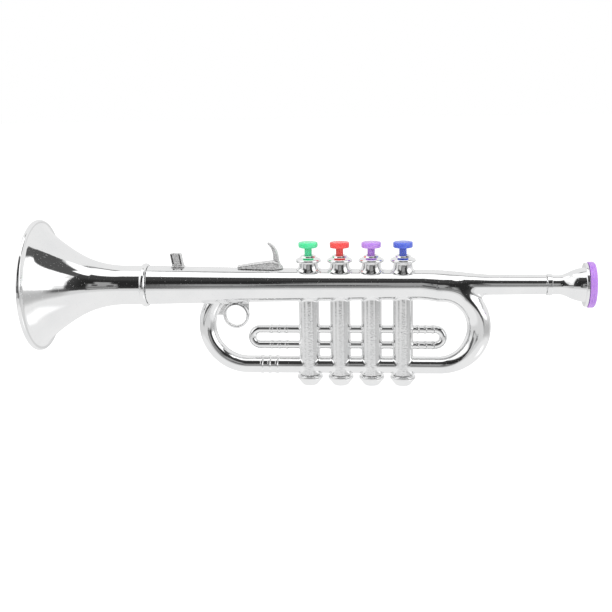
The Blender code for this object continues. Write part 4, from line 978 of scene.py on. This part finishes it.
def frosted_share(tree):
    """1 on the valve casings, whose plating has a frosted grain, and 0 elsewhere."""
    coordinates = add_node(tree, "TexCoord", {})
    parts = add_node(tree, "SeparateXYZ", {"Vector": coordinates.outputs["Object"]}).outputs
    first = place(VALVES[0] - VALVE_PITCH / 2).x
    last = place(VALVES[-1] + VALVE_PITCH / 2).x
    top = AXIS_HEIGHT + FROST_TOP
    along = maths(tree, "WRAP", maths(tree, "SUBTRACT", parts["X"], first), VALVE_PITCH, 0.0)
    from_valve = maths(tree, "ABSOLUTE", maths(tree, "SUBTRACT", along, VALVE_PITCH / 2))
    share = spread(tree, from_valve, 1.0, 0.0, FROST_REACH - FROST_EDGE, FROST_REACH)
    for other in (
        maths(tree, "GREATER_THAN", parts["X"], first),
        maths(tree, "LESS_THAN", parts["X"], last),
        maths(tree, "GREATER_THAN", parts["Z"], AXIS_HEIGHT - CASING_BOTTOM),
        spread(tree, parts["Z"], 1.0, 0.0, top - FROST_FADE, top),
    ):
        share = maths(tree, "MULTIPLY", share, other)
    return share


def chrome_plating():
    """Bright chrome on moulded plastic: slightly wavy, with faint haze, fine pits and frosted casings."""
    material, tree, shader = new_material("chrome_plating")
    shade = ramp(tree, noise(tree, 55.0, 4.0), (0.3, (0.90, 0.905, 0.91)), (0.7, (0.955, 0.955, 0.955)))
    frost = frosted_share(tree)
    pits = spread(tree, noise(tree, 1100.0, 1.0), 0.0, PIT_ROUGHNESS, 0.68, 0.76)
    rough = maths(tree, "ADD", spread(tree, noise(tree, 140.0, 5.0), 0.03, 0.06), pits)
    wave = noise(tree, 38.0, 1.5, 0.4)
    ripple = noise(tree, 420.0, 2.0)
    grain = maths(tree, "SUBTRACT", noise(tree, 900.0, 2.0), 0.5)
    grain = maths(tree, "MULTIPLY", grain, frost)
    set_sockets(tree, shader, {
        "Base Color": shade,
        "Metallic": spread(tree, frost, 1.0, FROST_METAL, 0.0, 1.0),
        "Roughness": maths(tree, "ADD", rough, maths(tree, "MULTIPLY", frost, FROST_ROUGHNESS)),
        "Normal": bump(tree, (wave, 0.0003, 0.2), (ripple, 0.00003, 0.4), (grain, 0.00018, 0.5)),
    })
    return material


def worn_plating_with_painted_crease_shade():
    """Dull plating over a grainy moulding: mottled, with painted shade that darkens its creases."""
    material, tree, shader = new_material("worn_plating_with_painted_crease_shade")
    grain = noise(tree, 900.0, 3.0, 0.7)
    shade = ramp(tree, grain, (0.36, (0.5, 0.5, 0.5)), (0.5, (0.77, 0.77, 0.77)), (0.64, (0.93, 0.93, 0.93)))
    # Painted shade: the colour is darkened where the surface is concave (low pointiness), standing in for the
    # shade that falls in creases and grooves
    pointiness = add_node(tree, "NewGeometry", {}).outputs["Pointiness"]
    painted_crease_shade = ramp(tree, pointiness, (0.46, (0.08, 0.08, 0.08)), (0.495, (1.0, 1.0, 1.0)))
    mix = tree.nodes.new("ShaderNodeMix")
    mix.data_type = "RGBA"
    mix.blend_type = "MULTIPLY"
    set_sockets(tree, mix, {"Factor": 1.0, 6: shade, 7: painted_crease_shade})
    set_sockets(tree, shader, {
        "Base Color": mix.outputs[2],
        "Metallic": 0.8,
        "Roughness": spread(tree, noise(tree, 300.0, 3.0), 0.24, 0.4),
        "Normal": bump(tree, (grain, 0.0003, 0.5), (noise(tree, 120.0, 2.0), 0.0004, 0.4)),
    })
    return material


def finish(name, light, dark, spots, grain, rough, layers, sockets):
    """A material darker in spots, with a roughness that follows a grain, and bumps; noises are noise()'s."""
    material, tree, shader = new_material(name)
    layers = [(noise(tree, *values), distance, strength) for values, distance, strength in layers]
    set_sockets(tree, shader, {
        "Base Color": ramp(tree, noise(tree, *spots), (0.3, dark), (0.7, light)),
        "Roughness": spread(tree, noise(tree, *grain), *rough),
        "Normal": bump(tree, *layers),
        **sockets,
    })
    return material


def glossy_plastic(name, colour, deep, roughness=0.22):
    """Glossy, slightly see-through plastic, deeper in colour in places, with a faint moulded texture."""
    rough = (roughness * 0.8, roughness * 1.3)
    layers = (((700.0, 2.0), 0.00003, 0.3), ((90.0, 1.0), 0.0003, 0.2))
    return finish(name, colour, deep, (160.0, 3.0), (500.0, 3.0), rough, layers, {
        "Subsurface Weight": 0.6,
        "Subsurface Radius": tuple(0.3 + c for c in colour),
        "Subsurface Scale": 0.003,
        "IOR": 1.5,
    })


def matt_plastic(name, light, dark, roughness):
    """Plain moulded plastic or rubber, as inside the body."""
    rough = (roughness * 0.85, roughness * 1.15)
    layers = (((1200.0, 3.0), 0.00004, 0.4),)
    return finish(name, light, dark, (260.0, 4.0), (600.0, 3.0), rough, layers, {})


def plain_metal(name, light, dark, roughness, stretch):
    """Rolled or drawn metal with fine lines along one direction."""
    rough = (roughness * 0.8, roughness * 1.3)
    lines = (500.0, 4.0, 0.6, stretch)
    layers = ((lines, 0.00004, 0.4),)
    return finish(name, light, dark, (120.0, 3.0), lines, rough, layers, {"Metallic": 1.0})


# Each finish is a slot's name and a material
CHROME = ("chrome", chrome_plating())
WORN_CHROME_WITH_PAINTED_CREASE_SHADE = ("worn_chrome", worn_plating_with_painted_crease_shade())
RIM_PLASTIC = ("rim_purple", glossy_plastic("rim_plastic", (0.50, 0.27, 0.72), (0.44, 0.21, 0.68), 0.3))
BUTTON_PLASTIC = {
    colour: (f"button_{colour}", glossy_plastic(f"{colour}_plastic", bright, deep))
    for colour, bright, deep in (
        ("green", (0.13, 0.75, 0.40), (0.08, 0.68, 0.31)),
        ("red", (0.88, 0.12, 0.11), (0.82, 0.07, 0.07)),
        ("purple", (0.53, 0.30, 0.74), (0.46, 0.23, 0.70)),
        ("blue", (0.14, 0.20, 0.68), (0.09, 0.14, 0.60)),
    )
}
WHITE_PLASTIC = ("white_plastic", matt_plastic("white_plastic", (0.82, 0.82, 0.80), (0.76, 0.76, 0.73), 0.45))
RUBBER = ("rubber", matt_plastic("valve_rubber", (0.06, 0.06, 0.06), (0.03, 0.03, 0.03), 0.8))
BRASS_LINES = (1.0, 8.0, 8.0)
BRASS = ("brass", plain_metal("reed_brass", (0.84, 0.62, 0.28), (0.72, 0.50, 0.20), 0.25, BRASS_LINES))
STEEL_LINES = (1.0, 1.0, 6.0)
STEEL = ("steel", plain_metal("spring_steel", (0.62, 0.63, 0.65), (0.5, 0.51, 0.53), 0.25, STEEL_LINES))
HIDDEN_FINISHES = {
    "air_chest": WHITE_PLASTIC, "reed_tray": WHITE_PLASTIC, "plunger": WHITE_PLASTIC, "valve_pad": RUBBER,
    "reed": BRASS,
}


def hidden_works():
    """The pieces inside the body keep their CAD shapes and get their finishes."""
    for name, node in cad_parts.items():
        kind = name.rstrip("_1234")
        if kind in HIDDEN_FINISHES:
            paint(node, HIDDEN_FINISHES[kind])


# What the chrome reflects, by direction: azimuth 0 is towards the front and 90 to the mouthpiece, in degrees.
# Each patch is (lowest and highest azimuth, lowest and highest elevation, softness, grey), laid on in turn.
BACKDROP_GREY = 0.86
SURROUNDINGS = {
    "floor_far": (-185, 185, -22, -2, 4.0, 0.70),
    "floor_spot": (60, 95, -49, -35, 6.0, 1.3),
    "ceiling_ring": (-185, 185, 71.5, 78.5, 1.5, 0.34),
    "ceiling": (-185, 185, 80.5, 95, 1.5, 1.35),
    "softbox": (-126, 113, 60.5, 95, 1.2, 1.35),
    "window_left": (-110, -46, 9, 57, 3.0, 1.15),
    "low_left": (-57, -38, -12, 5, 2.0, 0.13),
    "room": (-39, 44, -9.8, 58.5, 1.6, 0.052),
    "room_deep": (-30, 36, -3, 36, 8.0, 0.022),
    "arm": (43, 111, 37, 59, 1.5, 0.085),
    "arm_end": (94, 111, 30, 40, 2.0, 0.10),
    "notch": (28, 59, 51, 62, 1.2, 1.35),
    "low_right": (44, 120, -20, -6, 5.0, 0.50),
    "low_edge": (40, 52, -11, -3, 4.0, 0.10),
    "window_right": (50, 92, -3, 37, 1.5, 1.35),
    "window_edge": (45, 52, 6, 27, 1.5, 1.35),
    "table_left": (-50, -18, -9.5, -3.5, 1.5, 0.62),
    "things": (-10.5, 21.5, -10.5, 15, 3.0, 0.32),
    "things_top": (-4, 13, 12, 25, 2.5, 0.34),
    "things_gap": (-6.5, 0.5, 3, 9, 1.2, 0.05),
    "things_hole": (10, 16, 6, 13, 1.2, 0.06),
    "things_line": (-12, 22, -2.5, 2.5, 1.0, 0.16),
    "things_foot": (-12, 24, -11.8, -9.0, 0.8, 0.18),
}


def inside_range(tree, value, low, high, soft):
    """1 between two values, with a soft step at each."""
    steps = []
    for start, end in ((low - soft, low + soft), (high + soft, high - soft)):
        node = add_node(tree, "MapRange", {"Value": value, "From Min": start, "From Max": end})
        node.interpolation_type = "SMOOTHSTEP"
        steps.append(node.outputs["Result"])
    return maths(tree, "MULTIPLY", *steps)


WANDER_SCALE = 4.0
WANDER_DEGREES = 3.0


def laid_patches(tree, direction, patches, grey):
    """The studio as seen in a direction, as one grey: soft patches laid over a first grey."""
    waves = add_node(tree, "TexNoise", {"Scale": WANDER_SCALE, "Detail": 1.0, "Vector": direction})
    parts = add_node(tree, "SeparateXYZ", {"Vector": direction}).outputs
    front = maths(tree, "MULTIPLY", parts["Y"], -1.0)
    squares = [maths(tree, "MULTIPLY", part, part) for part in (parts["X"], front)]
    level = maths(tree, "SQRT", maths(tree, "ADD", *squares))
    azimuth = maths(tree, "DEGREES", maths(tree, "ARCTAN2", parts["X"], front))
    elevation = maths(tree, "DEGREES", maths(tree, "ARCTAN2", parts["Z"], level))
    wander = maths(tree, "MULTIPLY_ADD", waves.outputs["Fac"], WANDER_DEGREES, -WANDER_DEGREES / 2)
    azimuth = maths(tree, "ADD", azimuth, wander)
    for low_azimuth, high_azimuth, low, high, soft, patch in patches.values():
        across = inside_range(tree, azimuth, low_azimuth, high_azimuth, soft)
        upward = inside_range(tree, elevation, low, high, soft)
        share = maths(tree, "MULTIPLY", across, upward)
        grey = add_node(tree, "Mix", {"Factor": share, "A": grey, "B": patch}).outputs["Result"]
    return grey


AMBIENT = 0.8


def studio_world():
    """White to the camera, the surroundings to glossy rays and a plain even light to everything else."""
    world = bpy.data.worlds.new("studio")
    bpy.context.scene.world = world
    world.use_nodes = True
    tree = world.node_tree
    tree.nodes.clear()
    path = add_node(tree, "LightPath", {}).outputs
    direction = add_node(tree, "TexCoord", {}).outputs["Generated"]
    seen, even, white = (
        add_node(tree, "Background", {"Color": colour}).outputs[0]
        for colour in (
            laid_patches(tree, direction, SURROUNDINGS, BACKDROP_GREY),
            (AMBIENT, AMBIENT, AMBIENT, 1.0),
            (1.0, 1.0, 1.0, 1.0),
        )
    )
    glossy = add_node(tree, "MixShader", {"Fac": path["Is Glossy Ray"], 1: even, 2: seen}).outputs[0]
    camera = add_node(tree, "MixShader", {"Fac": path["Is Camera Ray"], 1: glossy, 2: white}).outputs[0]
    add_node(tree, "OutputWorld", {"Surface": camera})


FLOOR_HALF = 6.0
FLOOR_COLOUR = (0.5, 0.5, 0.5, 1.0)
FLOOR_GLOW = 0.55
FLOOR_GLOW_SEEN = 0.75


def studio_floor():
    """A plain pale floor that keeps a soft shadow; the chrome sees the world's lower part in its place."""
    mesh = bpy.data.meshes.new("floor")
    corners = [(x * FLOOR_HALF, y * FLOOR_HALF, 0.0) for x, y in ((-1, -1), (1, -1), (1, 1), (-1, 1))]
    mesh.from_pydata(corners, [], [(0, 1, 2, 3)])
    floor = link("floor", mesh)
    floor.visible_glossy = False
    material = bpy.data.materials.new("floor")
    material.use_nodes = True
    mesh.materials.append(material)
    tree = material.node_tree
    tree.nodes.clear()
    seen = add_node(tree, "LightPath", {}).outputs["Is Camera Ray"]
    glow = spread(tree, seen, FLOOR_GLOW, FLOOR_GLOW_SEEN, 0.0, 1.0)
    diffuse = add_node(tree, "BsdfDiffuse", {"Color": FLOOR_COLOUR}).outputs[0]
    emission = add_node(tree, "Emission", {"Strength": glow}).outputs[0]
    pale = add_node(tree, "AddShader", {0: diffuse, 1: emission}).outputs[0]
    add_node(tree, "OutputMaterial", {"Surface": pale})


# Each lamp's position, size and power
LAMPS = {"key": ((-0.35, -0.75, 1.25), 0.9, 9.0), "fill": ((0.9, -0.2, 0.7), 0.6, 2.5)}


def softbox(name, position, size, power):
    """A square lamp aimed at the trumpet; the world shows its glow to the chrome."""
    lamp = bpy.data.lights.new(name, "AREA")
    lamp.energy = power
    lamp.size = size
    obj = link(name, lamp)
    obj.location = position
    aim = Vector((0, 0, AXIS_HEIGHT)) - Vector(position)
    obj.rotation_euler = aim.to_track_quat("-Z", "Y").to_euler()
    obj.visible_glossy = False


# Camera, fitted to the photograph's frame of 612 pixels
FRAME_PIXELS = 612
FOCAL_PIXELS = 1040
SENSOR_WIDTH = 36.0
CAMERA_YAW = math.radians(5.55)
CAMERA_PITCH = math.radians(12.0)
CAMERA_ROLL = math.radians(-1.08)
CAMERA_DISTANCE = 0.7685
CAMERA_CLIP = (0.01, 50.0)
TARGET_STATION = 0.202
TARGET_HEIGHT = -0.0159


def photo_camera():
    """The camera at the photograph's viewing angle."""
    data = bpy.data.cameras.new("camera")
    data.sensor_width = SENSOR_WIDTH
    data.lens = SENSOR_WIDTH * FOCAL_PIXELS / FRAME_PIXELS
    data.clip_start, data.clip_end = CAMERA_CLIP
    turn = Matrix.Rotation(CAMERA_YAW, 4, "Z") @ Matrix.Rotation(math.pi / 2 - CAMERA_PITCH, 4, "X")
    turn = turn @ Matrix.Rotation(CAMERA_ROLL, 4, "Z")
    position = place(TARGET_STATION, TARGET_HEIGHT) + turn.col[2].to_3d() * CAMERA_DISTANCE
    camera = link("camera", data)
    camera.matrix_world = Matrix.Translation(position) @ turn
    bpy.context.scene.camera = camera


def build():
    body_shells()
    bell()
    mouthpiece()
    mouthpiece_rim()
    finger_hook()
    lyre_socket()
    for index, (valve, colour) in enumerate(zip(VALVES, COLOURS)):
        collar(index + 1, valve)
        bottom_cap(index + 1, valve)
        button(colour, valve)
        spring(index + 1, valve)
    hidden_works()
    studio_world()
    studio_floor()
    for name, values in LAMPS.items():
        softbox(name, *values)
    photo_camera()
    bpy.context.scene.view_settings.view_transform = "Standard"


build()
